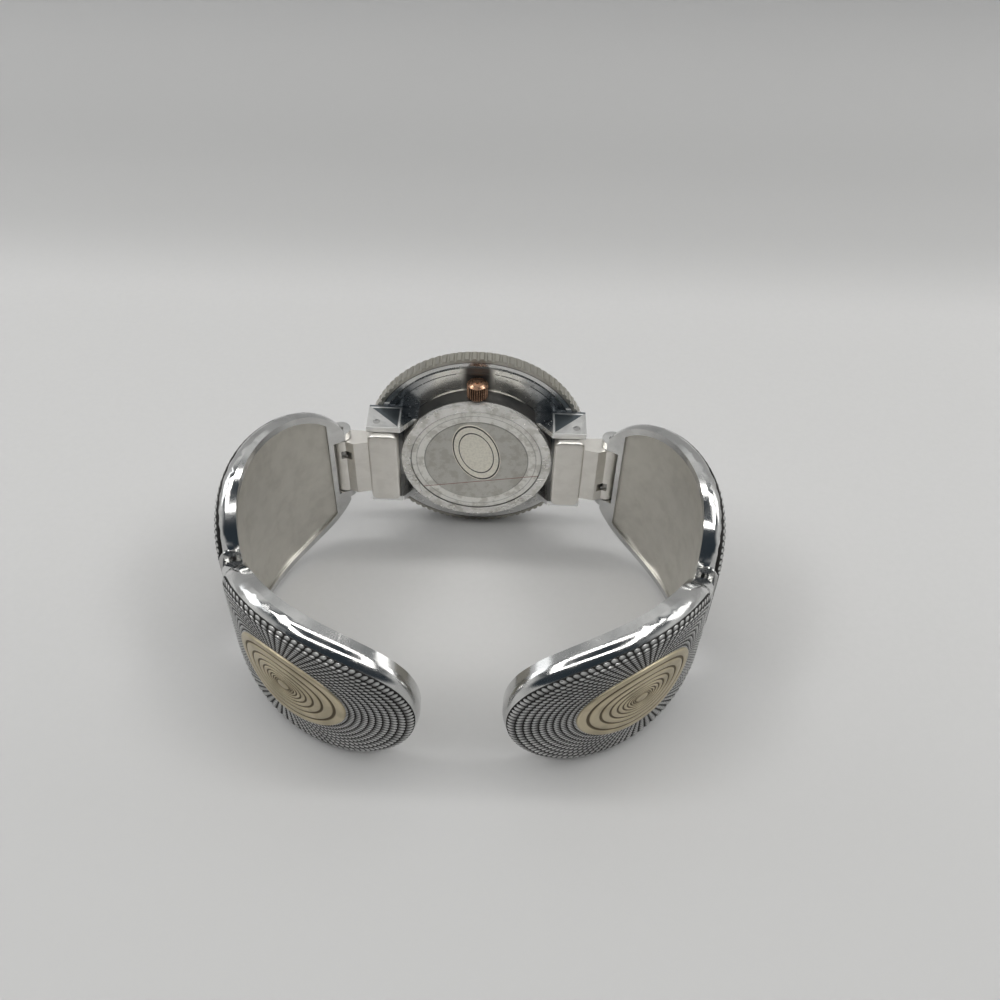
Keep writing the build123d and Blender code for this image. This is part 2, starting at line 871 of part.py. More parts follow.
# Both hinges, and the plan centres that the panels' arcs take from them
first_hinge = (bar_x + hinge_reach, bar_y - hinge_drop)
inner_centre = polar(first_hinge, -inner_pitch, inner_hinge_angle)
second_hinge = polar(inner_centre, joint_pitch, joint_angle)
outer_centre = polar(second_hinge, -outer_pitch, outer_hinge_angle)

# End link: block, neck and knuckle in one piece, with the spring's pocket and slot
spring_pocket = spring_outer + spring_pocket_gap
pocket_half = spring_length / 2 + spring_pocket_gap
with BuildPart() as end_link:
    with BuildSketch(Plane.XY):
        outline(
            (block_inner_x, block_rear),
            (block_outer_x, block_rear),
            (block_outer_x, block_shoulder),
            (block_nose_outer, block_front),
            (block_nose_inner, block_front),
            (block_inner_x, block_shoulder),
        )
    extrude(amount=block_half, both=True)
    corners = end_link.edges().filter_by(Axis.Y).group_by(Axis.Z)
    fillet(corners[0] + corners[-1], block_corner)
    fillet(end_link.edges().group_by(Axis.Y)[0], block_round)
    with BuildSketch(Plane.XY):
        outline(
            (block_outer_x - block_corner, neck_root_rear),
            (block_outer_x, neck_root_rear),
            (neck_vertex_x, neck_vertex_y),
            (neck_shoulder_x, neck_shoulder_y),
            (first_hinge[0], first_hinge[1]),
            (first_hinge[0], neck_front),
            (block_outer_x - block_corner, neck_front),
        )
        with Locations(first_hinge):
            Circle(knuckle_radius)
    extrude(amount=neck_half, both=True)
    with BuildSketch(Plane.XY):
        with Locations((bar_x, bar_y)):
            Circle(block_bore)
        with Locations(first_hinge):
            Circle(hinge_bore)
    extrude(amount=block_half + cut_overrun, both=True, mode=Mode.SUBTRACT)
    with BuildSketch(Plane.XY.offset(-spring_height)):
        with Locations(first_hinge):
            Circle(spring_pocket)
    extrude(amount=pocket_half, both=True, mode=Mode.SUBTRACT)
    with BuildSketch(Plane.XY.offset(-spring_height)):
        with Locations((first_hinge[0] - spring_slot_length / 2, first_hinge[1] - knuckle_radius)):
            Rectangle(spring_slot_length, 2 * knuckle_radius)
    extrude(amount=pocket_half, both=True, mode=Mode.SUBTRACT)
side_pieces.append(("end_link", end_link.part))


def hinge_pin(hinge, half):
    """Round pin along a hinge axis."""
    with BuildPart() as pin:
        with BuildSketch(Plane.XY):
            with Locations(hinge):
                Circle(hinge_pin_radius)
        extrude(amount=half, both=True)
    return pin.part


def hinge_spring(hinge, height):
    """Coil round a hinge pin as a sleeve, with one straight leg to the rear."""
    with BuildPart() as coil_sleeve:
        with BuildSketch(Plane.XY.offset(height)):
            with Locations(hinge):
                Circle(spring_outer)
                Circle(spring_inner, mode=Mode.SUBTRACT)
        extrude(amount=spring_length / 2, both=True)
        with BuildSketch(Plane.XY.offset(height)):
            with Locations((hinge[0] - spring_outer + spring_wire / 2, hinge[1] - knuckle_radius / 2)):
                Rectangle(spring_wire, knuckle_radius)
        extrude(amount=spring_wire / 2, both=True)
    return coil_sleeve.part


tab_inner = neck_half + side_gap
with BuildPart() as inner_hinge_pin:
    add(hinge_pin(first_hinge, tab_inner + tab_height - pin_inset))
side_pieces.append(("inner_hinge_pin", inner_hinge_pin.part))

with BuildPart() as inner_hinge_spring:
    add(hinge_spring(first_hinge, -spring_height))
side_pieces.append(("inner_hinge_spring", inner_hinge_spring.part))


def panel_body(panel, inner, outer, start, end, inset, share):
    """Curved slab between two radii and two angles inside a panel's oval outline."""
    with BuildPart() as slab:
        with BuildSketch(Plane.XY):
            band(panel["centre"], inner, outer, start, end)
        extrude(amount=panel["half"] + cut_overrun, both=True)
        add(
            spread(
                panel["centre"],
                panel["mid"],
                inner / 2,
                outer + inner,
                panel["start_share"],
                panel["end_share"],
                panel["half"],
                inset,
                share,
            ),
            mode=Mode.INTERSECT,
        )
    return slab.part


def panel_shell(panel):
    """Hollow panel, open to the wrist, with a rounded rim and two tabs for its hinge pin."""
    centre, hinge = panel["centre"], panel["hinge"]
    inner, outer, near, far = panel["inner"], panel["outer"], panel["near"], panel["far"]
    pitch = (inner + outer) / 2
    wall, ledge = arc_degrees(end_wall, pitch), arc_degrees(end_wall + ledge_width, pitch)
    cover_seat = inner + cover_recess + cover_thickness
    with BuildPart() as shell:
        add(panel_body(panel, inner, outer, panel["hinge_angle"], far, 0, 1))
        rim = [
            edge
            for edge in shell.edges()
            if edge.geom_type != GeomType.LINE
            and edge.length > outer - inner
            and abs(math.hypot((edge @ 0.5).X - centre[0], (edge @ 0.5).Y - centre[1]) - outer) < seat_gap
        ]
        fillet(rim, rim_round)
        with BuildSketch(Plane.XY):
            band(
                centre,
                inner - cut_overrun,
                outer + cut_overrun,
                panel["hinge_angle"] + arc_degrees(cut_overrun, pitch),
                near,
            )
        extrude(amount=panel["notch_half"], both=True, mode=Mode.SUBTRACT)
        add(
            panel_body(panel, inner - cut_overrun, cover_seat, near - wall, far + wall, side_wall, 1),
            mode=Mode.SUBTRACT,
        )
        add(
            panel_body(
                panel,
                inner,
                outer - front_wall,
                near - ledge,
                far + ledge,
                side_wall + ledge_width,
                1,
            ),
            mode=Mode.SUBTRACT,
        )
        for floor in (panel["notch_half"], -panel["notch_half"] - tab_height):
            with BuildSketch(Plane.XY.offset(floor)):
                with Locations(hinge):
                    Circle(knuckle_radius)
                band(
                    centre,
                    pitch - knuckle_radius,
                    pitch + knuckle_radius,
                    panel["hinge_angle"],
                    near - wall / 2,
                )
            extrude(amount=tab_height)
        with BuildSketch(Plane.XY):
            with Locations(hinge):
                Circle(hinge_pin_radius + seat_gap)
        extrude(amount=panel["half"], both=True, mode=Mode.SUBTRACT)
    return shell.part


def panel_cover(panel):
    """Cover plate that drops into the panel's open side."""
    pitch = (panel["inner"] + panel["outer"]) / 2
    wall = arc_degrees(end_wall + seat_gap, pitch)
    return panel_body(
        panel,
        panel["inner"] + cover_recess,
        panel["inner"] + cover_recess + cover_thickness - seat_gap,
        panel["near"] - wall,
        panel["far"] + wall,
        side_wall + seat_gap,
        1,
    )


def oval_ring(panel, low, high, outer_share, inner_share):
    """Ring between two ovals of a panel's outline."""
    ends = (panel["hinge_angle"], panel["far"])
    with BuildPart() as ring:
        add(panel_body(panel, low, high, *ends, 0, outer_share))
        add(
            panel_body(panel, low - cut_overrun, high + cut_overrun, *ends, 0, inner_share),
            mode=Mode.SUBTRACT,
        )
    return ring.part


def medallion(panel):
    """Raised oval on a panel's front, with oval grooves that close up towards its middle."""
    low = panel["outer"] + seat_gap
    top = low + medallion_height
    spread_share = math.tan(panel["medallion_length"] / 2 / panel["outer"])
    oval = dict(
        panel,
        mid=panel["medallion_angle"],
        start_share=spread_share,
        end_share=spread_share,
        half=panel["medallion_width"] / 2,
    )
    groove_share = groove_width / oval["half"]
    with BuildPart() as boss:
        add(panel_body(oval, low, top, panel["hinge_angle"], panel["far"], 0, 1))
        for step in range(medallion_grooves):
            share = groove_outer_share * groove_step_share**step
            add(
                oval_ring(oval, top - groove_depth, top + cut_overrun, share, share - groove_share),
                mode=Mode.SUBTRACT,
            )
    return boss.part


# What each panel is worked out from
inner_panel_sizes = {
    "centre": inner_centre,
    "hinge": first_hinge,
    "hinge_angle": inner_hinge_angle,
    "mid": inner_mid_angle,
    "inner": inner_radius,
    "outer": inner_outer,
    "near": inner_hinge_angle - arc_degrees(knuckle_reach, inner_pitch),
    "far": joint_angle + arc_degrees(knuckle_reach, inner_pitch),
    "start_share": inner_start_share,
    "end_share": inner_end_share,
    "half": inner_half,
    "notch_half": tab_inner,
    "medallion_angle": inner_medallion_angle,
    "medallion_length": inner_medallion_length,
    "medallion_width": inner_medallion_width,
}
outer_panel_sizes = {
    "centre": outer_centre,
    "hinge": second_hinge,
    "hinge_angle": outer_hinge_angle,
    "mid": outer_mid_angle,
    "inner": outer_radius,
    "outer": outer_outer,
    "near": outer_hinge_angle - arc_degrees(knuckle_reach, outer_pitch),
    "far": outer_mid_angle
    - math.degrees(math.atan(outer_end_share))
    - arc_degrees(cut_overrun, outer_pitch),
    "start_share": outer_start_share,
    "end_share": outer_end_share,
    "half": outer_half,
    "notch_half": outer_tongue_half + side_gap,
    "medallion_angle": outer_medallion_angle,
    "medallion_length": outer_medallion_length,
    "medallion_width": outer_medallion_width,
}

# Inner panel, with the tongue and knuckle of the middle joint at its far end
with BuildPart() as inner_panel:
    add(panel_shell(inner_panel_sizes))
    with BuildSketch(Plane.XY):
        with Locations(second_hinge):
            Circle(knuckle_radius)
        band(
            inner_centre,
            joint_pitch - knuckle_radius + seat_gap,
            joint_pitch + knuckle_radius - seat_gap,
            inner_panel_sizes["far"] + arc_degrees(end_wall / 2, inner_pitch),
            joint_angle,
        )
    extrude(amount=outer_tongue_half, both=True)
    with BuildSketch(Plane.XY):
        with Locations(second_hinge):
            Circle(hinge_bore)
    extrude(amount=outer_tongue_half + cut_overrun, both=True, mode=Mode.SUBTRACT)
    with BuildSketch(Plane.XY):
        with Locations(second_hinge):
            Circle(spring_pocket)
    extrude(amount=pocket_half, both=True, mode=Mode.SUBTRACT)
side_pieces.append(("inner_panel", inner_panel.part))

with BuildPart() as inner_cover:
    add(panel_cover(inner_panel_sizes))
side_pieces.append(("inner_cover", inner_cover.part))

with BuildPart() as inner_medallion:
    add(medallion(inner_panel_sizes))
side_pieces.append(("inner_medallion", inner_medallion.part))

# Outer panel on the middle joint's pin
with BuildPart() as outer_hinge_pin:
    add(hinge_pin(second_hinge, outer_panel_sizes["notch_half"] + tab_height - pin_inset))
side_pieces.append(("outer_hinge_pin", outer_hinge_pin.part))

with BuildPart() as outer_hinge_spring:
    with BuildSketch(Plane.XY):
        with Locations(second_hinge):
            Circle(spring_outer)
            Circle(spring_inner, mode=Mode.SUBTRACT)
    extrude(amount=spring_length / 2, both=True)
side_pieces.append(("outer_hinge_spring", outer_hinge_spring.part))

with BuildPart() as outer_panel:
    add(panel_shell(outer_panel_sizes))
side_pieces.append(("outer_panel", outer_panel.part))

with BuildPart() as outer_cover:
    add(panel_cover(outer_panel_sizes))
side_pieces.append(("outer_cover", outer_cover.part))

with BuildPart() as outer_medallion:
    add(medallion(outer_panel_sizes))
side_pieces.append(("outer_medallion", outer_medallion.part))

# Write the right-hand pieces and the same pieces turned half round the case axis
for piece_name, right_part in side_pieces:
    with BuildPart() as right_piece:
        add(right_part)
    right_piece.part.label = "right_" + piece_name
    export_step(right_piece.part, f"parts/right_{piece_name}.step")
    with BuildPart() as left_piece:
        add(right_part, rotation=(0, 180, 0))
    left_piece.part.label = "left_" + piece_name
    export_step(left_piece.part, f"parts/left_{piece_name}.step")
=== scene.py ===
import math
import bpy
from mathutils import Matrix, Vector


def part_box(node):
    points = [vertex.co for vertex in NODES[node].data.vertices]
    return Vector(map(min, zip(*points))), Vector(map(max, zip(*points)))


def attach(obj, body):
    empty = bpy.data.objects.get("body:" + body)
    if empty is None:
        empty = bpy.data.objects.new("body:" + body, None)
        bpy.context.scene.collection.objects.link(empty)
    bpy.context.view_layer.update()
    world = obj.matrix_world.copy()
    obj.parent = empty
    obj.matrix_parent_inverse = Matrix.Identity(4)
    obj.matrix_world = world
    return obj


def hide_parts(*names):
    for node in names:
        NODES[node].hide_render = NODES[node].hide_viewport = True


bl_info = {
    "name": "Cuff Watch Dresser",
    "version": (1, 0, 0),
    "blender": (4, 5, 0),
    "location": "3D View > Sidebar > Cuff Watch",
    "description": "Relief fronts, medallions, dial print, metal finishes and a pale studio for a cuff watch",
    "category": "Object",
}

import bpy
import numpy as np
from mathutils import Matrix

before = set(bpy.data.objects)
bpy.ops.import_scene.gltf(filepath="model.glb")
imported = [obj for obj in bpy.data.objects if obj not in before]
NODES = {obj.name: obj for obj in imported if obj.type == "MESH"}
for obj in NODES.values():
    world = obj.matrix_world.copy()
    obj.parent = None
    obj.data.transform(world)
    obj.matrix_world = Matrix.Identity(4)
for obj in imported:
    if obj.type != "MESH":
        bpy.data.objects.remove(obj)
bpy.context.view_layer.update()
MM = 0.001


# Settings a user would change


class CuffPanelSizes(bpy.types.PropertyGroup):
    """Front of the panels: counts, depths and the medallions' dome."""

    scales: bpy.props.IntProperty(
        name="Scales", description="Scales round one ring of a panel's front", default=104, min=24
    )
    rings: bpy.props.IntProperty(
        name="Rings", description="Rings of scales from the medallion to the rim", default=10, min=2
    )
    scale_depth: bpy.props.FloatProperty(
        name="Scale depth",
        description="Height of a scale over the gaps round it, at the rim",
        default=0.3 * MM,
        unit="LENGTH",
    )
    rim_margin: bpy.props.FloatProperty(
        name="Rim margin",
        description="Polished width between the last ring of scales and the panel's outline",
        default=0.95 * MM,
        unit="LENGTH",
    )
    groove_depth: bpy.props.FloatProperty(
        name="Groove depth",
        description="Depth of the medallion's oval grooves",
        default=0.2 * MM,
        unit="LENGTH",
    )
    dome: bpy.props.FloatProperty(
        name="Medallion dome",
        description="Rise of the medallion's middle over its edge",
        default=0.15 * MM,
        unit="LENGTH",
    )
    grooves: bpy.props.IntProperty(
        name="Grooves", description="Oval grooves on a medallion", default=9, min=1
    )


class CuffColours(bpy.types.PropertyGroup):
    """Colours of the finishes."""

    chrome: bpy.props.FloatVectorProperty(
        name="Chrome",
        description="Polished plating",
        subtype="COLOR",
        size=3,
        default=(0.74, 0.74, 0.73),
    )
    satin: bpy.props.FloatVectorProperty(
        name="Satin back",
        description="Cover plates towards the wrist",
        subtype="COLOR",
        size=3,
        default=(0.6, 0.58, 0.53),
    )
    antique: bpy.props.FloatVectorProperty(
        name="Antique dark",
        description="Dark in the gaps between the scales",
        subtype="COLOR",
        size=3,
        default=(0.035, 0.034, 0.033),
    )
    pale_gold: bpy.props.FloatVectorProperty(
        name="Pale gold",
        description="Medallions",
        subtype="COLOR",
        size=3,
        default=(0.56, 0.49, 0.35),
    )
    rose: bpy.props.FloatVectorProperty(
        name="Rose tone",
        description="Crown",
        subtype="COLOR",
        size=3,
        default=(0.5, 0.3, 0.2),
    )
    paper: bpy.props.FloatVectorProperty(
        name="Label paper",
        description="Oval label on the case back",
        subtype="COLOR",
        size=3,
        default=(0.95, 0.91, 0.8),
    )


class CuffStage(bpy.types.PropertyGroup):
    """Floor, backdrop and lamps."""

    floor: bpy.props.FloatVectorProperty(
        name="Floor",
        description="Floor and backdrop",
        subtype="COLOR",
        size=3,
        default=(0.465, 0.465, 0.465),
    )
    tilt: bpy.props.FloatProperty(
        name="Floor tilt",
        description="Fall of the floor from the panels to the bezel, which the watch rests on",
        default=math.radians(6.58),
        subtype="ANGLE",
    )
    key: bpy.props.FloatProperty(
        name="Lamps", description="Power that the two fill lamps share", default=0.5, unit="POWER"
    )


# Surfaces. Lengths in this part are in millimetres.

# Plan sizes of the two panels: the arc's centre, the front face's radius, the middle of the
# oval outline in degrees, its half spreads as tangents and its half height, the angles of
# both ends, and the medallion's place and size.
PANELS = {
    "inner": dict(
        centre=(10.338, -21.631), front=25.4, mid=25.3, start=0.87, end=0.93, half=14.8,
        near=57.01, far=-13.55, gem_angle=23.0, gem_length=22.0, gem_width=15.6,
    ),
    "outer": dict(
        centre=(6.598, -19.3), front=29.6, mid=-58.0, start=0.88, end=0.69, half=12.4,
        near=-24.83, far=-94.7, gem_angle=-55.0, gem_length=19.2, gem_width=13.2,
    ),
}
FILLET = 2.3  # quarter round of a panel's rim
END_GAP = 0.35  # from the scales to a panel's square ends
SCALE_LIFT = 0.02  # gaps between the scales above the panel's front
SCALE_SKIRT = 0.25  # depth of the scales' closed edges under the front
GEM_EDGE = 0.42  # medallion's edge above the panel's front
GEM_ROUND = 0.25  # rounding of that edge
GEM_SEAT = 0.2  # depth of the medallion under the front


def smooth_step(x):
    """Cubic that runs from 0 to 1 as x does, with level ends."""
    x = np.clip(x, 0.0, 1.0)
    return x * x * (3.0 - 2.0 * x)


def arc_length(panel, angle):
    """Length along the front from the outline's middle to an angle in degrees."""
    return math.radians(panel["mid"] - angle) * panel["front"]


def on_front(panel, along, height, lift):
    """Point over the front face. along is the arc length from the outline's middle towards
    the free end, height is Z, and lift is the distance outside the front's radius: the
    angle is the middle's less along over the radius, and x, y follow from cosine and sine."""
    angle = math.radians(panel["mid"]) - along / panel["front"]
    reach = panel["front"] + lift
    x = panel["centre"][0] + reach * np.cos(angle)
    y = panel["centre"][1] + reach * np.sin(angle)
    return np.stack([x, y, height + 0 * angle], axis=-1)


def outline(panel, turn, inset):
    """Oval outline of a panel at turns round its middle, drawn in by inset. Its spread is
    the tangent share times cosine, its height the half height times sine, and both shrink by
    one less inset over the distance from the middle to the outline's tangent there. The two
    ends are then cut off square at the hinge and at the joint."""
    spread = np.where(np.cos(turn) > 0, panel["end"], panel["start"])
    wide, tall = spread * panel["front"], panel["half"]
    support = wide * tall / np.sqrt((tall * np.cos(turn)) ** 2 + (wide * np.sin(turn)) ** 2)
    share = 1.0 - inset / support
    along = panel["front"] * np.arctan(share * spread * np.cos(turn))
    height = share * tall * np.sin(turn)
    low = arc_length(panel, panel["near"]) + END_GAP
    high = arc_length(panel, panel["far"]) - END_GAP
    return np.clip(along, low, high), height, support


def closed_mesh(name, rows, poles=None, recess=None):
    """Mesh from rows of points that close round. With poles the first row fans to the first
    pole and the last row to the second; without them the last row joins the first. Faces are
    turned outwards by the sign of the enclosed volume."""
    count, columns = rows.shape[:2]
    points = rows.reshape(-1, 3)
    index = np.arange(count * columns).reshape(count, columns)
    nxt = np.roll(index, -1, axis=1)
    if poles is None:
        below, below_nxt = np.roll(index, -1, axis=0), np.roll(nxt, -1, axis=0)
        quads = np.stack([index, nxt, below_nxt, below], axis=-1).reshape(-1, 4)
        triangles = np.zeros((0, 3), dtype=int)
    else:
        quads = np.stack([index[:-1], nxt[:-1], nxt[1:], index[1:]], axis=-1).reshape(-1, 4)
        first, last = len(points), len(points) + 1
        points = np.concatenate([points, np.asarray(poles)])
        top_fan = np.stack([np.full(columns, first), nxt[0], index[0]], axis=-1)
        bottom_fan = np.stack([np.full(columns, last), index[-1], nxt[-1]], axis=-1)
        triangles = np.concatenate([top_fan, bottom_fan])
    halves = np.concatenate([quads[:, [0, 1, 2]], quads[:, [0, 2, 3]], triangles])
    a, b, c = points[halves[:, 0]], points[halves[:, 1]], points[halves[:, 2]]
    if np.einsum("ij,ij->i", a, np.cross(b, c)).sum() < 0:
        quads, triangles = quads[:, ::-1], triangles[:, ::-1]
    mesh = bpy.data.meshes.new(name)
    mesh.from_pydata(points * MM, [], quads.tolist() + triangles.tolist())
    mesh.polygons.foreach_set("use_smooth", np.ones(len(mesh.polygons), dtype=bool))
    if recess is not None:
        values = np.zeros(len(points))
        values[: recess.size] = recess.ravel()
        mesh.attributes.new("recess", "FLOAT", "POINT").data.foreach_set("value", values)
    mesh.update()
    piece = bpy.data.objects.new(name, mesh)
    bpy.context.scene.collection.objects.link(piece)
    return piece


def other_side(rows):
    """The same points turned half round the case axis."""
    return rows * np.array([-1.0, 1.0, -1.0])


def facing(rows):
    """Unit normals of a grid that closes round its columns, from the cross product of the
    central differences down the rows and round the columns."""
    down = np.gradient(rows, axis=0)
    sideways = np.roll(rows, -1, axis=1) - np.roll(rows, 1, axis=1)
    normal = np.cross(down, sideways)
    return normal / (np.linalg.norm(normal, axis=-1, keepdims=True) + 1e-12)


def scale_field(panel, sizes):
    """Rows of points and recess values of a panel's relief. A point goes straight, in the
    unrolled front, from the medallion's edge to the outline as its share goes from 0 to 1.
    The base falls off near the outline as the rim's quarter round does. Over it the scales
    lie like shingles: across a scale the height is a sine to a power under one, and along it
    the height climbs to the outer end and breaks off, where the end bows out with the sine.
    The scales grow from half their depth at the medallion to the whole at the rim, and the
    last ring falls back to half, so that it runs into the rim."""
    columns, steps = 8, 10  # of the mesh, to a scale and to a ring
    under_gem = 0.48  # start of the relief, as a share of the medallion's length and width
    widening = 0.3  # of the rings towards the outline
    bow = 0.3  # of a scale's outer end, as a share of a ring
    blunt = 0.6  # power of the sine across a scale
    low_end, emerge, hidden = 0.35, 0.1, 0.3  # height, climb and start at a scale's inner end
    break_off = 0.22  # share of a scale over which its outer end falls
    last_ring, run_out = 0.86, 0.1  # shares at which the fall into the rim starts, and its length

    rings, scales = sizes.rings, sizes.scales
    turn = np.linspace(0, 2 * np.pi, scales * columns, endpoint=False)[None, :]
    share = np.linspace(0, 1, rings * steps + 1)[:, None]
    near_along = arc_length(panel, panel["gem_angle"]) + under_gem * panel["gem_length"] * np.cos(turn)
    near_height = under_gem * panel["gem_width"] * np.sin(turn)
    far_along, far_height, support = outline(panel, turn, sizes.rim_margin / MM)
    along = near_along + (far_along - near_along) * share
    height = near_height + (far_height - near_height) * share

    # Distance from each point to the oval outline, for the fall of the rounded rim
    lateral = np.tan(along / panel["front"])
    spread = np.where(lateral > 0, panel["end"], panel["start"])
    oval = np.sqrt((lateral / spread) ** 2 + (height / panel["half"]) ** 2)
    edge = np.clip(FILLET - (1.0 - oval) * support, 0.0, FILLET)
    drop = FILLET - np.sqrt(FILLET**2 - np.minimum(edge, 0.999 * FILLET) ** 2)
    base = on_front(panel, along, height, -drop)

    rib = np.abs(np.sin(0.5 * scales * turn))
    ring = rings * np.log1p(widening * share) / math.log(1.0 + widening) + bow * (1.0 - rib)
    climb = ring - np.floor(ring)
    relief = rib**blunt * (low_end + (1.0 - low_end) * climb)
    relief = relief * smooth_step((1.0 - climb) / break_off) * smooth_step(climb / emerge + hidden)
    taper = 1.0 - 0.5 * smooth_step((share - last_ring) / run_out)
    depth = sizes.scale_depth / MM * (0.5 + 0.5 * share) * taper

    normal = facing(base)
    probe = rings * 3  # a row well inside the relief, to tell outwards from inwards
    if (normal[probe] * (on_front(panel, along, height, 1.0) - base)[probe]).sum() < 0:
        normal = -normal
    top = base + normal * (SCALE_LIFT + depth * relief)[..., None]
    skirt_out = base[-1:] - normal[-1:] * SCALE_SKIRT
    skirt_in = on_front(panel, along[:1], height[:1], -SCALE_SKIRT)
    sunk = 0 * relief[:1] + 1
    return np.concatenate([skirt_in, top, skirt_out]), np.concatenate([sunk, 1 - relief, sunk])


def gem_field(panel, sizes):
    """Rows, poles and recess values of a medallion. The radius share runs from the middle to
    the edge. The height is the rim's height plus a parabolic dome, less a bell-shaped groove
    at each share of a falling series, and rounds off at the edge by a quarter circle."""
    outermost, ratio = 0.84, 0.78  # share of the first groove, and of each to the one outside it
    shoulder, round_share = 0.965, 0.036  # start and width of the rounded edge
    fine, plain, edge = np.linspace(0.02, 0.2, 24), np.linspace(0.205, 0.97, 118), np.linspace(0.975, 1.0, 9)
    share = np.concatenate([fine, plain, edge])[:, None]
    turn = np.linspace(0, 2 * np.pi, 192, endpoint=False)[None, :]
    middle = arc_length(panel, panel["gem_angle"])
    along = middle + 0.5 * panel["gem_length"] * share * np.cos(turn)
    height = 0.5 * panel["gem_width"] * share * np.sin(turn)
    cut = np.zeros_like(share)
    for step in range(sizes.grooves):
        place = outermost * ratio**step
        width, strength = 0.014 + 0.018 * place, 0.9 + 0.2 * place
        cut = np.maximum(cut, np.exp(-(((share - place) / width) ** 2)) * strength)
    past = np.clip((share - shoulder) / round_share, 0, 0.999)
    rounding = GEM_ROUND * (1 - np.sqrt(1 - past**2))
    lift = GEM_EDGE + sizes.dome / MM * (1 - share**2) - sizes.groove_depth / MM * cut - rounding
    top = on_front(panel, along, height, lift + 0 * along)
    wall = on_front(panel, along[-1:], height[-1:], -GEM_SEAT)
    poles = [
        on_front(panel, np.array([middle]), np.zeros(1), pole)[0] for pole in (float(lift[0, 0]), -GEM_SEAT)
    ]
    recess = np.concatenate([cut, cut[-1:]]) + 0 * turn
    return np.concatenate([top, wall]), poles, recess


# Shader nodes and groups


def wire(tree, kind, inputs=None, **settings):
    """Adds a node, sets its options, and sets or links its inputs."""
    node = tree.nodes.new(kind)
    for key, value in settings.items():
        setattr(node, key, value)
    for key, value in (inputs or {}).items():
        if isinstance(value, bpy.types.NodeSocket):
            tree.links.new(value, node.inputs[key])
        else:
            node.inputs[key].default_value = value
    return node


def maths(tree, operation, first, second=0.0, clamp=False):
    """Math node; gives its output socket."""
    node = wire(tree, "ShaderNodeMath", {0: first, 1: second}, operation=operation, use_clamp=clamp)
    return node.outputs[0]


def product(tree, *factors):
    """Product of sockets and numbers; gives its output socket."""
    result = factors[0]
    for factor in factors[1:]:
        result = maths(tree, "MULTIPLY", result, factor)
    return result


def hypotenuse(tree, first, second):
    """Square root of the sum of two squares; gives its output socket."""
    squares = [maths(tree, "MULTIPLY", side, side) for side in (first, second)]
    return maths(tree, "SQRT", maths(tree, "ADD", *squares))


def near(tree, value, middle, outer, inner):
    """One where a value lies within inner of the middle, and falling to zero at outer; gives
    its output socket."""
    off = maths(tree, "ABSOLUTE", maths(tree, "SUBTRACT", value, middle))
    return ramp(tree, off, outer, inner)


def blend_colour(tree, factor, first, second):
    """Colour mix; gives its output socket."""
    return wire(tree, "ShaderNodeMix", {0: factor, 6: first, 7: second}, data_type="RGBA").outputs[2]


def ramp(tree, value, low, high, to_low=0.0, to_high=1.0):
    """Smooth remap of a value between two limits; gives its output socket."""
    inputs = {"Value": value, "From Min": low, "From Max": high, "To Min": to_low, "To Max": to_high}
    return wire(tree, "ShaderNodeMapRange", inputs, interpolation_type="SMOOTHSTEP").outputs["Result"]


def new_group(name, inputs, outputs):
    """Empty shader group with float or vector inputs and float outputs."""
    group = bpy.data.node_groups.new(name, "ShaderNodeTree")
    for label, kind, default in inputs:
        socket = group.interface.new_socket(name=label, in_out="INPUT", socket_type=kind)
        if default is not None:
            socket.default_value = default
    for label in outputs:
        group.interface.new_socket(name=label, in_out="OUTPUT", socket_type="NodeSocketFloat")
    return group, group.nodes.new("NodeGroupInput"), group.nodes.new("NodeGroupOutput")


def wear_group():
    """Handling wear: hairline scratches in crossed directions, cloudy smears and dust specks.
    Scratches are noise stretched along turned axes, smears are broad noise, and specks are
    the middles of small Voronoi cells."""
    name = "handling_wear"
    if name in bpy.data.node_groups:
        return bpy.data.node_groups[name]
    group, source, sink = new_group(
        name,
        [
            ("Vector", "NodeSocketVector", None),
            ("Smear", "NodeSocketFloat", 260.0),
            ("Speck", "NodeSocketFloat", 1500.0),
        ],
        ["Scratches", "Smears", "Specks"],
    )
    vector = source.outputs["Vector"]
    fields = []
    for turn, stretch in (
        ((0.3, 0.5, 0.2), (1500.0, 90.0, 1500.0)),
        ((0.9, -0.4, 1.3), (120.0, 2100.0, 2100.0)),
    ):
        turned = wire(group, "ShaderNodeMapping", {"Vector": vector, "Rotation": turn, "Scale": stretch})
        lines = {"Vector": turned.outputs[0], "Scale": 1.0, "Detail": 2.0}
        fields.append(ramp(group, wire(group, "ShaderNodeTexNoise", lines).outputs[0], 0.66, 0.74))
    scratches = maths(group, "MAXIMUM", *fields)
    clouds = {"Vector": vector, "Scale": source.outputs["Smear"], "Detail": 4.0, "Distortion": 0.4}
    smears = ramp(group, wire(group, "ShaderNodeTexNoise", clouds).outputs[0], 0.36, 0.68)
    cells = wire(group, "ShaderNodeTexVoronoi", {"Vector": vector, "Scale": source.outputs["Speck"]})
    patchy = wire(group, "ShaderNodeTexNoise", {"Vector": vector, "Scale": 420.0, "Detail": 1.0})
    dots = ramp(group, cells.outputs["Distance"], 0.2, 0.1)
    specks = product(group, dots, ramp(group, patchy.outputs[0], 0.5, 0.62))
    for label, socket in (("Scratches", scratches), ("Smears", smears), ("Specks", specks)):
        group.links.new(socket, sink.inputs[label])
    return group


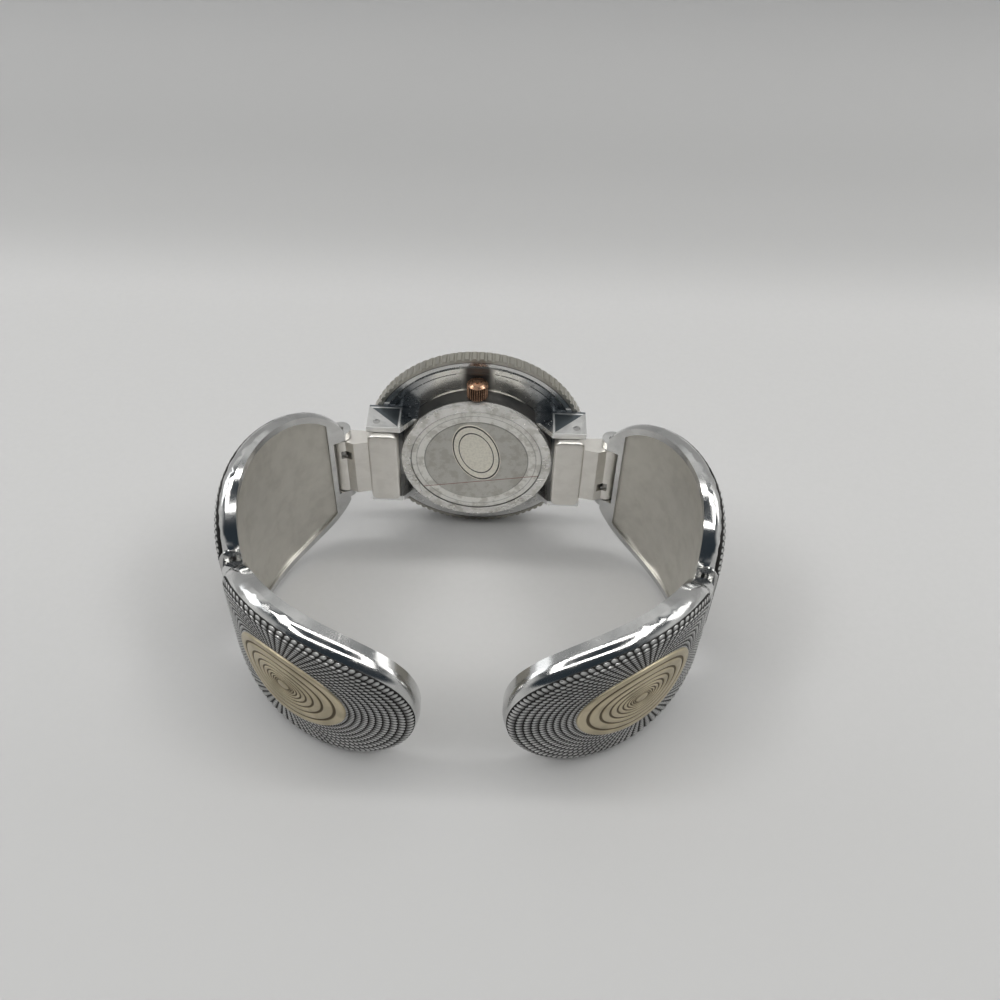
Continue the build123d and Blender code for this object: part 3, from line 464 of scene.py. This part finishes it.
def grain_group():
    """Turned or straight grain: fine noise over one coordinate, which the material chooses."""
    name = "metal_grain"
    if name in bpy.data.node_groups:
        return bpy.data.node_groups[name]
    group, source, sink = new_group(
        name, [("Position", "NodeSocketFloat", 0.0), ("Lines", "NodeSocketFloat", 9000.0)], ["Grain"]
    )
    place = product(group, source.outputs["Position"], source.outputs["Lines"])
    inputs = {"W": place, "Scale": 1.0, "Detail": 3.0}
    noise = wire(group, "ShaderNodeTexNoise", inputs, noise_dimensions="1D")
    group.links.new(noise.outputs[0], sink.inputs["Grain"])
    return group


# Materials


def shade(colour, share):
    """A colour with each channel times a share."""
    return [share * channel for channel in colour]


class Finish:
    """A new material with one Principled shader over the Object coordinates. The tint, the
    roughness and the normal are sockets that a finish builds up, and done links them."""

    def __init__(self, name):
        self.material = bpy.data.materials.new(name)
        self.material.use_nodes = True
        self.tree = self.material.node_tree
        self.tree.nodes.clear()
        self.shader = self.tree.nodes.new("ShaderNodeBsdfPrincipled")
        out = self.tree.nodes.new("ShaderNodeOutputMaterial")
        self.tree.links.new(self.shader.outputs[0], out.inputs["Surface"])
        self.coords = self.tree.nodes.new("ShaderNodeTexCoord").outputs["Object"]
        self.tint = self.rough = self.normal = None

    def fix(self, label, value):
        """Sets a constant on the shader's own socket."""
        self.shader.inputs[label].default_value = value

    def axes(self):
        """X, Y and Z of the coordinates, and the distance from the case axis."""
        apart = wire(self.tree, "ShaderNodeSeparateXYZ", {0: self.coords})
        x, y, z = (apart.outputs[axis] for axis in "XYZ")
        return x, y, z, hypotenuse(self.tree, x, z)

    def noise(self, scale, detail, **more):
        """Noise over the coordinates; gives its output socket."""
        inputs = {"Vector": self.coords, "Scale": scale, "Detail": detail, **more}
        return wire(self.tree, "ShaderNodeTexNoise", inputs).outputs[0]

    def grain(self, position, lines):
        """Grain over one coordinate; gives its output socket."""
        inputs = {"Position": position, "Lines": lines}
        return wire(self.tree, "ShaderNodeGroup", inputs, node_tree=grain_group()).outputs[0]

    def mask(self, value, start, full):
        """Socket that goes from zero to one between two values in millimetres."""
        return ramp(self.tree, value, start * MM, full * MM)

    def paint(self, colour, mask, strength=1.0):
        """Lays a colour, or a socket with one, over the tint where a mask is one."""
        if not isinstance(colour, bpy.types.NodeSocket):
            colour = (*colour, 1)
        factor = mask if strength == 1.0 else maths(self.tree, "MULTIPLY", mask, strength)
        self.tint = blend_colour(self.tree, factor, self.tint, colour)

    def roughen(self, mask, amount):
        """Adds an amount to the roughness where a mask is one."""
        more = maths(self.tree, "MULTIPLY", mask, amount)
        self.rough = maths(self.tree, "ADD", self.rough, more, clamp=True)

    def bump(self, height, strength, depth=0.01):
        """Bends the normal by a height, of which one stands for a depth in millimetres."""
        inputs = {"Height": height, "Strength": strength, "Distance": depth * MM}
        if self.normal is not None:
            inputs["Normal"] = self.normal
        self.normal = wire(self.tree, "ShaderNodeBump", inputs).outputs[0]

    def done(self):
        """Links the sockets that were built up; gives the material."""
        built = (("Base Color", self.tint), ("Roughness", self.rough), ("Normal", self.normal))
        for label, socket in built:
            if socket is not None:
                self.tree.links.new(socket, self.shader.inputs[label])
        return self.material


def worn_metal(
    name, colour, dull, roughness, spread=0.12, smear=260.0, scratch=0.25, specks=0.0, depth=0.012
):
    """Plated metal: the colour clouds towards a duller one, and smears, scratches and specks
    raise the roughness, by spread, half of scratch and half of specks. Smear is the clouds'
    scale, and depth is the scratches' depth in millimetres. Gives the finish, for others to
    build on."""
    metal = Finish(name)
    inputs = {"Vector": metal.coords, "Smear": smear}
    wear = wire(metal.tree, "ShaderNodeGroup", inputs, node_tree=wear_group()).outputs
    metal.tint, metal.rough = (*colour, 1), roughness
    metal.paint(dull, wear["Smears"])
    metal.paint((0.75, 0.74, 0.7), product(metal.tree, wear["Specks"], specks))
    metal.roughen(wear["Smears"], spread)
    metal.roughen(wear["Scratches"], scratch * 0.5)
    metal.roughen(wear["Specks"], specks * 0.5)
    metal.fix("Metallic", 1.0)
    swells = maths(metal.tree, "MULTIPLY", wear["Smears"], 0.3)
    metal.bump(maths(metal.tree, "SUBTRACT", swells, wear["Scratches"]), scratch, depth)
    return metal


def relief_metal(name, raised, sunk, roughness, curve):
    """Metal with a darkened ground: the recess attribute leads from the raised colour to the
    sunk one and from polished to matt."""
    metal = worn_metal(name, raised, shade(raised, 0.8), roughness)
    recess = wire(metal.tree, "ShaderNodeAttribute", attribute_name="recess").outputs["Fac"]
    ground = ramp(metal.tree, recess, *curve)
    metal.paint(sunk, ground)
    metal.roughen(ground, 0.35)
    return metal.done()


def back_plate_finish():
    """Case back: a polished outer ring, a turned field and a frosted middle with grey patches,
    painted shade lines at the steps and one thin rusty scratch across them."""
    field_edge, field_line, middle_edge = 10.66, 9.75, 8.45  # radii in millimetres
    scratch_slope, scratch_drop = 0.17, 4.6  # drop under the middle in millimetres
    metal = worn_metal(
        "case_back_steel", (0.9, 0.89, 0.86), (0.8, 0.79, 0.76), 0.22, spread=0.08, smear=240.0, scratch=0.1
    )
    tree = metal.tree
    x, _, z, radius = metal.axes()
    grain, frost = metal.grain(radius, 9000.0), metal.noise(6500.0, 2.0)
    field = metal.mask(radius, field_edge + 0.06, field_edge - 0.06)
    middle = metal.mask(radius, middle_edge + 0.05, middle_edge - 0.05)
    metal.roughen(field, ramp(tree, grain, 0.3, 0.7, 0.1, 0.18))
    metal.roughen(middle, 0.16)
    metal.paint(blend_colour(tree, grain, (0.98, 0.97, 0.93, 1), (0.84, 0.83, 0.79, 1)), field)
    metal.paint(blend_colour(tree, frost, (0.53, 0.52, 0.49, 1), (0.72, 0.71, 0.67, 1)), middle)
    patches = ramp(tree, metal.noise(520.0, 6.0, Roughness=0.65), 0.46, 0.6, 0.0, 0.5)
    metal.paint((0.45, 0.43, 0.38), patches)
    # Painted shade: dark lines in the steps between the ring, the field and the middle.
    for place, strength in ((field_edge, 0.85), (field_line, 0.35), (middle_edge, 0.5)):
        metal.paint((0.1, 0.1, 0.095), near(tree, radius, place * MM, 0.11 * MM, 0.05 * MM), strength)
    level = maths(tree, "SUBTRACT", z, maths(tree, "MULTIPLY", x, scratch_slope))
    scratch = near(tree, level, -scratch_drop * MM, 0.1 * MM, 0.05 * MM)
    metal.paint((0.27, 0.08, 0.05), product(tree, scratch, field), 0.75)
    metal.fix("Metallic", 0.7)
    metal.bump(blend_colour(tree, middle, grain, frost), 0.3)
    return metal.done()


# Case middle in millimetres: the drum's radius, the flange's rear face in Y, the height of a
# lug's upper and lower face, and X and Y of the heel and the tip of its sloped shoulder
DRUM, FLANGE, LUG_FACE, LUG_HEEL, LUG_TIP = 12.3, 3.75, 8.1, (12.0, -1.4), (17.3, 3.75)


def drum_finish(colours):
    """Case middle: chrome, painted near black over the drum's top half as a dark reflection, satin on the
    lugs' flats, painted reflections on the flange (light by the middle, dark blue towards the lugs, and
    the crown's dark reflection behind it), painted dark reflections on the lugs' bevels and painted
    highlights along their ridges and heels. Drum, flange and flats are told apart by the distance from
    the case axis, by the depth and by the height."""
    dull = shade(colours.chrome, 0.72)
    metal = worn_metal("case_chrome", colours.chrome, dull, 0.06, spread=0.1, scratch=0.3, specks=0.7)
    tree = metal.tree
    x, y, z, radius = metal.axes()
    wide, high = maths(tree, "ABSOLUTE", x), maths(tree, "ABSOLUTE", z)

    flange = metal.mask(y, FLANGE - 0.25, FLANGE - 0.15)
    drum = product(tree, metal.mask(radius, DRUM + 0.15, DRUM + 0.05), metal.mask(z, -4.0, 4.0))
    beside = metal.mask(wide, LUG_HEEL[0] - 0.2, LUG_HEEL[0] + 0.2)
    flat = product(tree, beside, metal.mask(high, LUG_FACE + 0.03, LUG_FACE + 0.01))
    # Painted dark reflection: the drum goes near black towards its top.
    metal.paint((0.1, 0.095, 0.088), drum, 0.85)

    # Painted reflections on the flange above the crown line: light by the middle, dark blue towards the lugs.
    flange_reflection_zone = product(tree, flange, metal.mask(z, -1.0, 3.0))
    metal.paint((0.92, 0.9, 0.84), product(tree, flange_reflection_zone, metal.mask(wide, 8.0, 6.0)))
    metal.paint((0.08, 0.1, 0.12), product(tree, flange_reflection_zone, metal.mask(wide, 6.5, 12.0)), 0.85)

    # The bevel lies past the line from heel to tip, and its ridges along the flange, the
    # drum and the heel
    slope = (LUG_TIP[1] - LUG_HEEL[1]) / (LUG_TIP[0] - LUG_HEEL[0])
    start = LUG_HEEL[1] - slope * LUG_HEEL[0]
    past_line = metal.mask(maths(tree, "SUBTRACT", y, product(tree, wide, slope)), start - 0.05, start + 0.05)
    on_face = metal.mask(high, LUG_FACE - 0.05, LUG_FACE)
    outside = metal.mask(wide, LUG_HEEL[0] - 0.05, LUG_HEEL[0] + 0.05)
    bevel = product(tree, past_line, outside, on_face, maths(tree, "SUBTRACT", 1.0, flange))
    # Painted dark reflection on the lugs' sloped bevels.
    metal.paint((0.06, 0.08, 0.095), bevel, 0.9)
    # Painted highlights: bright lines along the bevels' ridges and the lugs' heels.
    by_flange = metal.mask(y, FLANGE - 0.55, FLANGE - 0.4)
    by_drum = metal.mask(wide, LUG_HEEL[0] + 0.45, LUG_HEEL[0] + 0.3)
    heel_highlight = metal.mask(y, LUG_HEEL[1] + 0.2, LUG_HEEL[1] + 0.05)
    ridge_highlight = product(tree, maths(tree, "MAXIMUM", by_flange, by_drum), bevel)
    metal.paint((0.93, 0.93, 0.92), maths(tree, "MAXIMUM", ridge_highlight, heel_highlight))

    # Painted dark reflection of the crown on the flange behind it.
    crown_dark_reflection = product(tree, metal.mask(wide, 2.9, 1.5), metal.mask(z, 11.5, 12.5), flange)
    metal.paint((0.06, 0.06, 0.06), crown_dark_reflection, 0.9)
    metal.roughen(maths(tree, "MAXIMUM", flat, drum), 0.22)
    metal.roughen(flange, 0.14)
    metal.roughen(crown_dark_reflection, 0.3)
    return metal.done()


def bezel_finish(colours):
    """Bezel: dulled satin plating, polished inside a step of the distance from the axis, with a line of
    painted shade along the seam.
    """
    step = 0.7  # from the outline to the polished slope's seam, in millimetres
    metal = worn_metal(
        "bezel_chrome", (0.47, 0.455, 0.41), (0.4, 0.385, 0.34), 0.28, spread=0.1, smear=300.0, scratch=0.15
    )
    radius = metal.axes()[-1]
    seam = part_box("bezel")[1][0] / MM - step
    polished = metal.mask(radius, seam + 0.04, seam - 0.1)
    metal.paint(colours.chrome, polished)
    # Painted shade: a dark line along the seam of the polished slope.
    metal.paint((0.2, 0.19, 0.18), near(metal.tree, radius, seam * MM, 0.12 * MM, 0.04 * MM))
    metal.roughen(polished, -0.14)
    return metal.done()


def crown_finish(colours):
    """Crown: rose plating over its dome, tarnished dark in the skirt's flutes, which follow
    the cosine of their count times the angle round the crown's own axis."""
    flutes = 26.0
    metal = worn_metal("crown_rose", colours.rose, shade(colours.rose, 0.75), 0.2, smear=900.0)
    tree = metal.tree
    x, y, z, _ = metal.axes()
    low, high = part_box("crown")
    angle = maths(tree, "ARCTAN2", maths(tree, "SUBTRACT", y, 0.5 * (low[1] + high[1])), x)
    flute = ramp(tree, maths(tree, "COSINE", maths(tree, "MULTIPLY", angle, flutes)), -0.35, 0.3)
    tarnish = product(tree, flute, metal.mask(z, high[2] / MM - 0.45, high[2] / MM - 0.6))
    metal.paint((0.035, 0.022, 0.016), tarnish)
    metal.roughen(tarnish, 0.3)
    return metal.done()


def label_finish(colours):
    """Oval paper label: two dark outlines where the leaning oval distance passes two shares,
    and fibres in the paper."""
    lean, half_width, half_length = math.radians(16.0), 3.7 * MM, 6.2 * MM
    paper = Finish("label_paper")
    tree = paper.tree
    low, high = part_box("back_label")
    place = {"Vector": paper.coords, "Location": tuple((low + high) / 2), "Rotation": (0.0, -lean, 0.0)}
    upright = wire(tree, "ShaderNodeMapping", place, vector_type="TEXTURE").outputs[0]
    apart = wire(tree, "ShaderNodeSeparateXYZ", {0: upright}).outputs
    across, up = maths(tree, "DIVIDE", apart["X"], half_width), maths(tree, "DIVIDE", apart["Z"], half_length)
    oval = hypotenuse(tree, across, up)
    outer, inner = near(tree, oval, 0.945, 0.032, 0.02), near(tree, oval, 0.71, 0.026, 0.014)
    fibre = paper.noise(2600.0, 4.0)
    paper.tint = (*colours.paper, 1)
    paper.paint(shade(colours.paper, 0.86), ramp(tree, fibre, 0.35, 0.7))
    paper.paint((0.03, 0.028, 0.025), maths(tree, "MAXIMUM", outer, inner))
    paper.rough = ramp(tree, fibre, 0.2, 0.8, 0.32, 0.5)
    paper.bump(fibre, 0.3)
    return paper.done()


def cover_finish(colours):
    """Satin cover plate: plating with pale patches and fine pits."""
    satin = colours.satin
    metal = worn_metal("cover_satin", satin, shade(satin, 0.93), 0.44, spread=0.08, smear=300.0, scratch=0.12)
    patches = ramp(metal.tree, metal.noise(520.0, 5.0, Roughness=0.6), 0.4, 0.62, 0.0, 0.4)
    metal.paint(shade(satin, 1.1), patches)
    metal.bump(metal.noise(5200.0, 3.0), 0.5, 0.008)
    return metal.done()


def dial_finish():
    """Silver dial: sunburst grain by the angle round the axis, and a printed minute track
    where the angle times sixty comes near a whole number."""
    track_inside, track_outside = 12.7, 12.88  # radii in millimetres
    silver = Finish("dial_silver_paint")
    tree = silver.tree
    x, _, z, radius = silver.axes()
    angle = maths(tree, "ARCTAN2", z, x)
    rays = silver.grain(angle, 60.0)
    minutes = maths(tree, "ADD", maths(tree, "MULTIPLY", angle, 30.0 / math.pi), 60.5)
    aside = maths(tree, "ABSOLUTE", maths(tree, "SUBTRACT", maths(tree, "FRACT", minutes), 0.5))
    tick = silver.mask(product(tree, aside, radius), 1.1, 0.8)
    inside = silver.mask(radius, track_inside - 0.02, track_inside + 0.02)
    outside = silver.mask(radius, track_outside + 0.02, track_outside - 0.02)
    silver.tint = blend_colour(tree, rays, (0.86, 0.86, 0.84, 1), (0.66, 0.66, 0.65, 1))
    silver.paint((0.02, 0.02, 0.02), product(tree, tick, inside, outside))
    silver.rough = ramp(tree, rays, 0.2, 0.8, 0.28, 0.45)
    silver.fix("Metallic", 0.55)
    silver.bump(rays, 0.2)
    return silver.done()


def plain_part(name, colour, roughness, metallic=0.0):
    """Moulded or lacquered part: fine grain in tone, roughness and bump."""
    part = Finish(name)
    noise = part.noise(1800.0, 3.0)
    part.tint = (*colour, 1)
    part.paint(shade(colour, 0.85), ramp(part.tree, noise, 0.3, 0.7))
    part.rough = ramp(part.tree, noise, 0.2, 0.8, roughness, roughness + 0.15)
    part.fix("Metallic", metallic)
    part.bump(noise, 0.2)
    return part.done()


def glass_finish():
    """Clear crystal with the faintest smears."""
    glass = Finish("crystal_clear")
    wear = wire(glass.tree, "ShaderNodeGroup", {"Vector": glass.coords}, node_tree=wear_group())
    glass.rough = ramp(glass.tree, wear.outputs["Smears"], 0.0, 1.0, 0.0, 0.05)
    glass.fix("Base Color", (0.97, 0.985, 0.99, 1))
    glass.fix("Transmission Weight", 1.0)
    glass.fix("IOR", 1.45)
    return glass.done()


def dress(material, *nodes):
    """Puts a material on CAD pieces."""
    for name in nodes:
        piece = NODES[name]
        if piece.material_slots:
            for place in piece.material_slots:
                place.material = material
        else:
            piece.data.materials.append(material)


def both(*names):
    """Right and left names of bracelet pieces."""
    return [f"{side}_{name}" for side in ("right", "left") for name in names]


# Stage


def sweep_mesh(tilt):
    """Sheet of the floor and the backdrop: level rows from before the watch to behind it, a
    quarter bend and a straight rise. Reach runs back along the tilted floor and level along
    its normal, from the watch's lowest point on that normal."""
    front, flat, start, bend, rise = -0.9, -0.125, 0.075, 0.075, 0.16
    half_width, gap, lean = 0.8, 0.00002, math.radians(78.0)
    normal = np.array([0.0, math.sin(tilt), math.cos(tilt)])
    back = np.array([0.0, math.cos(tilt), -math.sin(tilt)])
    lowest = math.inf
    for piece in NODES.values():
        points = np.empty(len(piece.data.vertices) * 3)
        piece.data.vertices.foreach_get("co", points)
        lowest = min(lowest, float((points.reshape(-1, 3) @ normal).min()))
    turn = np.linspace(0.0, lean, 24)
    reach = np.concatenate([[front, flat], start + bend * np.sin(turn)])
    level = np.concatenate([[0.0, 0.0], bend * (1 - np.cos(turn))])
    reach = np.append(reach, reach[-1] + rise * math.cos(lean))
    level = np.append(level, level[-1] + rise * math.sin(lean))
    middle = reach[:, None] * back + (level[:, None] + lowest - gap) * normal
    side = np.array([half_width, 0.0, 0.0])
    grid = np.stack([middle - side, middle + side], axis=1)
    index = np.arange(len(reach) * 2).reshape(-1, 2)
    faces = np.stack([index[:-1, 0], index[:-1, 1], index[1:, 1], index[1:, 0]], axis=-1)
    mesh = bpy.data.meshes.new("studio_sweep")
    mesh.from_pydata(grid.reshape(-1, 3), [], faces.tolist())
    mesh.polygons.foreach_set("use_smooth", np.ones(len(faces), dtype=bool))
    return mesh


def sweep_finish(floor):
    """Card of the sweep: faintly mottled, with painted shade in front and at the bend and painted light above
    it.
    """
    card = Finish("sweep_card")
    card.tint = (*floor, 1)
    card.paint(shade(floor, 0.985), ramp(card.tree, card.noise(900.0, 3.0), 0.3, 0.7))
    depth = card.axes()[1]
    # Painted shade and light: the floor darkens in front and at the bend and brightens above it.
    for start, full, tone in ((-10.0, -80.0, 0.92), (82.0, 112.0, 0.8), (124.0, 156.0, 1.1)):
        card.paint(shade(floor, tone), card.mask(depth, start, full))
    card.fix("Roughness", 0.62)
    card.fix("Specular IOR Level", 0.25)
    return card.done()


def lamp(name, place, power, colour):
    """Square area lamp that points at the watch."""
    size, aim = 0.2, (0.0, -0.02, -0.005)
    data = bpy.data.lights.new(name, "AREA")
    data.shape, data.size = "SQUARE", size
    data.energy = power
    data.color = colour
    light = bpy.data.objects.new(name, data)
    bpy.context.scene.collection.objects.link(light)
    away = np.array(place) - np.array(aim)
    back = away / np.linalg.norm(away)
    side = np.cross((0.0, 1.0, 0.001), back)
    side = side / np.linalg.norm(side)
    turn = Matrix(np.stack([side, np.cross(back, side), back], axis=1).tolist()).to_4x4()
    turn.translation = place
    light.matrix_world = turn


def room_world():
    """Room light: pale walls, a dark ceiling and a dark side behind the camera, and a lit
    frame in the ceiling, where the larger of the direction's two scaled slopes is near one."""
    frame_front, frame_depth, frame_level = 0.12, 0.46, 7.2
    world = bpy.data.worlds.new("studio_room")
    world.use_nodes = True
    room = world.node_tree
    room.nodes.clear()
    out = room.nodes.new("ShaderNodeOutputWorld")
    direction = room.nodes.new("ShaderNodeTexCoord").outputs["Generated"]
    apart = wire(room, "ShaderNodeSeparateXYZ", {0: direction})
    x, y, z = (apart.outputs[axis] for axis in "XYZ")
    cloth = wire(room, "ShaderNodeTexNoise", {"Vector": direction, "Scale": 2.2, "Detail": 2.0}).outputs[0]
    walls = blend_colour(room, ramp(room, cloth, 0.4, 0.62), (0.5, 0.51, 0.51, 1), (0.74, 0.74, 0.73, 1))
    ceiling = product(room, ramp(room, z, 0.22, 0.6), ramp(room, y, 0.56, 0.3))
    behind = product(room, ramp(room, z, -0.04, 0.2), ramp(room, y, -0.15, -0.5))
    dome = blend_colour(room, maths(room, "MAXIMUM", ceiling, behind), walls, (0.03, 0.04, 0.05, 1))
    up = maths(room, "MAXIMUM", z, 0.02)
    across = maths(room, "ABSOLUTE", maths(room, "DIVIDE", x, up))
    deep = maths(room, "ADD", maths(room, "DIVIDE", y, up), frame_front)
    deep = maths(room, "ABSOLUTE", maths(room, "DIVIDE", deep, frame_depth))
    edge = maths(room, "MAXIMUM", across, deep)
    lit = product(room, ramp(room, edge, 0.64, 0.68), ramp(room, edge, 1.02, 0.98))
    colour = blend_colour(room, lit, dome, (1.0, 0.99, 0.97, 1))
    strength = ramp(room, lit, 0.0, 1.0, 1.0, frame_level)
    glow = wire(room, "ShaderNodeBackground", {"Color": colour, "Strength": strength})
    room.links.new(glow.outputs[0], out.inputs["Surface"])
    return world


def photo_camera():
    """Camera fitted to the photograph: its right, down and ahead directions and its place."""
    right, down, ahead = np.array(
        [[0.9994, 0.0248, 0.0253], [0.0354, -0.7176, -0.6955], [0.001, 0.696, -0.718]]
    )
    data = bpy.data.cameras.new("photo_camera")
    data.sensor_fit = "HORIZONTAL"
    data.sensor_width = 36.0
    data.lens = 35.82
    data.clip_start, data.clip_end = 0.01, 10.0
    camera = bpy.data.objects.new("photo_camera", data)
    pose = Matrix(np.stack([right, -down, -ahead], axis=1).tolist()).to_4x4()
    pose.translation = (0.00395, -0.11757, 0.11261)
    camera.matrix_world = pose
    return camera


# Operators


class CUFF_OT_relief(bpy.types.Operator):
    """Lay the rings of scales on the four panel fronts"""

    bl_idname = "cuff.relief"
    bl_label = "Panel relief"

    def execute(self, context):
        sizes, colours = context.scene.cuff_sizes, context.scene.cuff_colours
        raised = shade(colours.chrome, 0.85)
        metal = relief_metal("antique_scales", raised, colours.antique, 0.24, (0.22, 0.8))
        for key, panel in PANELS.items():
            rows, recess = scale_field(panel, sizes)
            for side, placed in (("right", rows), ("left", other_side(rows))):
                piece = closed_mesh(f"{side}_{key}_scales", placed, recess=recess)
                piece.data.materials.append(metal)
                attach(piece, f"{side}_{key}")
        return {"FINISHED"}


class CUFF_OT_medallions(bpy.types.Operator):
    """Set the grooved oval medallions on the four panel fronts"""

    bl_idname = "cuff.medallions"
    bl_label = "Medallions"

    def execute(self, context):
        sizes, colours = context.scene.cuff_sizes, context.scene.cuff_colours
        metal = relief_metal("pale_gold_grooved", colours.pale_gold, (0.16, 0.13, 0.09), 0.3, (0.3, 0.8))
        for key, panel in PANELS.items():
            rows, poles, recess = gem_field(panel, sizes)
            for side, turned in (("right", False), ("left", True)):
                points = other_side(rows) if turned else rows
                ends = [other_side(pole) for pole in poles] if turned else poles
                piece = closed_mesh(f"{side}_{key}_medallion_rings", points, ends, recess)
                piece.data.materials.append(metal)
                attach(piece, f"{side}_{key}")
                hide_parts(f"{side}_{key}_medallion")
        return {"FINISHED"}


class CUFF_OT_head(bpy.types.Operator):
    """Finish the watch head"""

    bl_idname = "cuff.head"
    bl_label = "Watch head"

    def execute(self, context):
        colours = context.scene.cuff_colours
        dress(drum_finish(colours), "case_middle")
        dress(bezel_finish(colours), "bezel")
        dress(back_plate_finish(), "case_back")
        dress(label_finish(colours), "back_label")
        dress(crown_finish(colours), "crown")
        dress(glass_finish(), "crystal")
        dress(dial_finish(), "dial")
        dress(plain_part("chapter_paint", (0.8, 0.8, 0.79), 0.3), "chapter_ring")
        dress(worn_metal("marker_polish", (0.3, 0.3, 0.31), (0.22, 0.22, 0.23), 0.1).done(), "hour_markers")
        hands = plain_part("hand_black", (0.02, 0.02, 0.022), 0.2)
        dress(hands, "hour_hand", "minute_hand", "second_hand")
        dress(plain_part("gasket_clear", (0.8, 0.8, 0.78), 0.4), "crystal_gasket")
        dress(plain_part("gasket_black", (0.02, 0.02, 0.02), 0.6), "back_gasket")
        dress(plain_part("holder_white", (0.82, 0.82, 0.8), 0.45), "movement_holder")
        dress(plain_part("board_lacquer", (0.03, 0.2, 0.08), 0.25), "circuit_board")
        dress(plain_part("coil_copper", (0.6, 0.24, 0.1), 0.3, metallic=1.0), "coil")
        brass = worn_metal("movement_brass", (0.7, 0.52, 0.26), (0.55, 0.4, 0.2), 0.3).done()
        dress(brass, "main_plate", "hour_wheel")
        steel = worn_metal("movement_steel", (0.6, 0.61, 0.62), (0.48, 0.48, 0.5), 0.28).done()
        dress(steel, "battery", "stator", "train_bridge", "cannon_pinion", "second_arbor")
        dress(steel, "crown_tube", "stem", "stem_pinion", "setting_lever")
        return {"FINISHED"}


class CUFF_OT_bracelet(bpy.types.Operator):
    """Finish the bracelet's links, panels, covers and hinges"""

    bl_idname = "cuff.bracelet"
    bl_label = "Bracelet"

    def execute(self, context):
        colours = context.scene.cuff_colours
        plated = shade(colours.chrome, 0.88)
        dull = shade(plated, 0.82)
        panel = worn_metal("panel_chrome", plated, dull, 0.1, spread=0.1, scratch=0.15, depth=0.006).done()
        dress(panel, *both("inner_panel", "outer_panel"))
        pale, dull = (0.84, 0.815, 0.77), (0.79, 0.765, 0.72)
        link = worn_metal("link_chrome", pale, dull, 0.3, spread=0.08, smear=500.0, scratch=0.15).done()
        dress(link, *both("end_link"))
        dress(cover_finish(colours), *both("inner_cover", "outer_cover"))
        pin = worn_metal("pin_steel", (0.5, 0.5, 0.5), (0.38, 0.37, 0.36), 0.25).done()
        dress(pin, *both("spring_bar", "inner_hinge_pin", "outer_hinge_pin"))
        spring = worn_metal("spring_wire", (0.46, 0.46, 0.46), (0.34, 0.33, 0.32), 0.3).done()
        dress(spring, *both("inner_hinge_spring", "outer_hinge_spring"))
        gold = worn_metal("medallion_base", colours.pale_gold, (0.5, 0.43, 0.32), 0.3).done()
        dress(gold, *both("inner_medallion", "outer_medallion"))
        return {"FINISHED"}


class CUFF_OT_stage(bpy.types.Operator):
    """Set the floor, backdrop, lamps, world and camera"""

    bl_idname = "cuff.stage"
    bl_label = "Studio"

    def execute(self, context):
        scene, settings = context.scene, context.scene.cuff_stage
        sweep = bpy.data.objects.new("studio_sweep", sweep_mesh(settings.tilt))
        scene.collection.objects.link(sweep)
        sweep.data.materials.append(sweep_finish(settings.floor))
        lamp("left_lamp", (-0.42, 0.1, 0.2), 0.5 * settings.key, (0.96, 0.98, 1.0))
        lamp("right_lamp", (0.42, 0.1, 0.2), 0.5 * settings.key, (1.0, 0.99, 0.97))
        scene.world = room_world()
        camera = photo_camera()
        scene.collection.objects.link(camera)
        scene.camera = camera
        scene.view_settings.view_transform = "Standard"
        return {"FINISHED"}


class CUFF_PT_panel(bpy.types.Panel):
    """Sidebar panel of the cuff watch"""

    bl_idname = "CUFF_PT_panel"
    bl_label = "Cuff Watch"
    bl_space_type = "VIEW_3D"
    bl_region_type = "UI"
    bl_category = "Cuff Watch"

    def draw(self, context):
        for group in (context.scene.cuff_sizes, context.scene.cuff_colours, context.scene.cuff_stage):
            box = self.layout.box()
            for key in group.__annotations__:
                box.prop(group, key)
        for maker in MAKERS:
            self.layout.operator(maker.bl_idname)


MAKERS = (CUFF_OT_relief, CUFF_OT_medallions, CUFF_OT_head, CUFF_OT_bracelet, CUFF_OT_stage)
CLASSES = (CuffPanelSizes, CuffColours, CuffStage, *MAKERS, CUFF_PT_panel)


def register():
    """Registers the classes and hangs the settings on the scene."""
    for cls in CLASSES:
        bpy.utils.register_class(cls)
    bpy.types.Scene.cuff_sizes = bpy.props.PointerProperty(type=CuffPanelSizes)
    bpy.types.Scene.cuff_colours = bpy.props.PointerProperty(type=CuffColours)
    bpy.types.Scene.cuff_stage = bpy.props.PointerProperty(type=CuffStage)


def unregister():
    """Takes the settings and the classes away again."""
    del bpy.types.Scene.cuff_sizes, bpy.types.Scene.cuff_colours, bpy.types.Scene.cuff_stage
    for cls in reversed(CLASSES):
        bpy.utils.unregister_class(cls)


def main():
    """Registers the classes and builds everything in order."""
    register()
    bpy.ops.cuff.relief()
    bpy.ops.cuff.medallions()
    bpy.ops.cuff.head()
    bpy.ops.cuff.bracelet()
    bpy.ops.cuff.stage()
    bpy.context.view_layer.update()


if __name__ == "__main__":
    main()
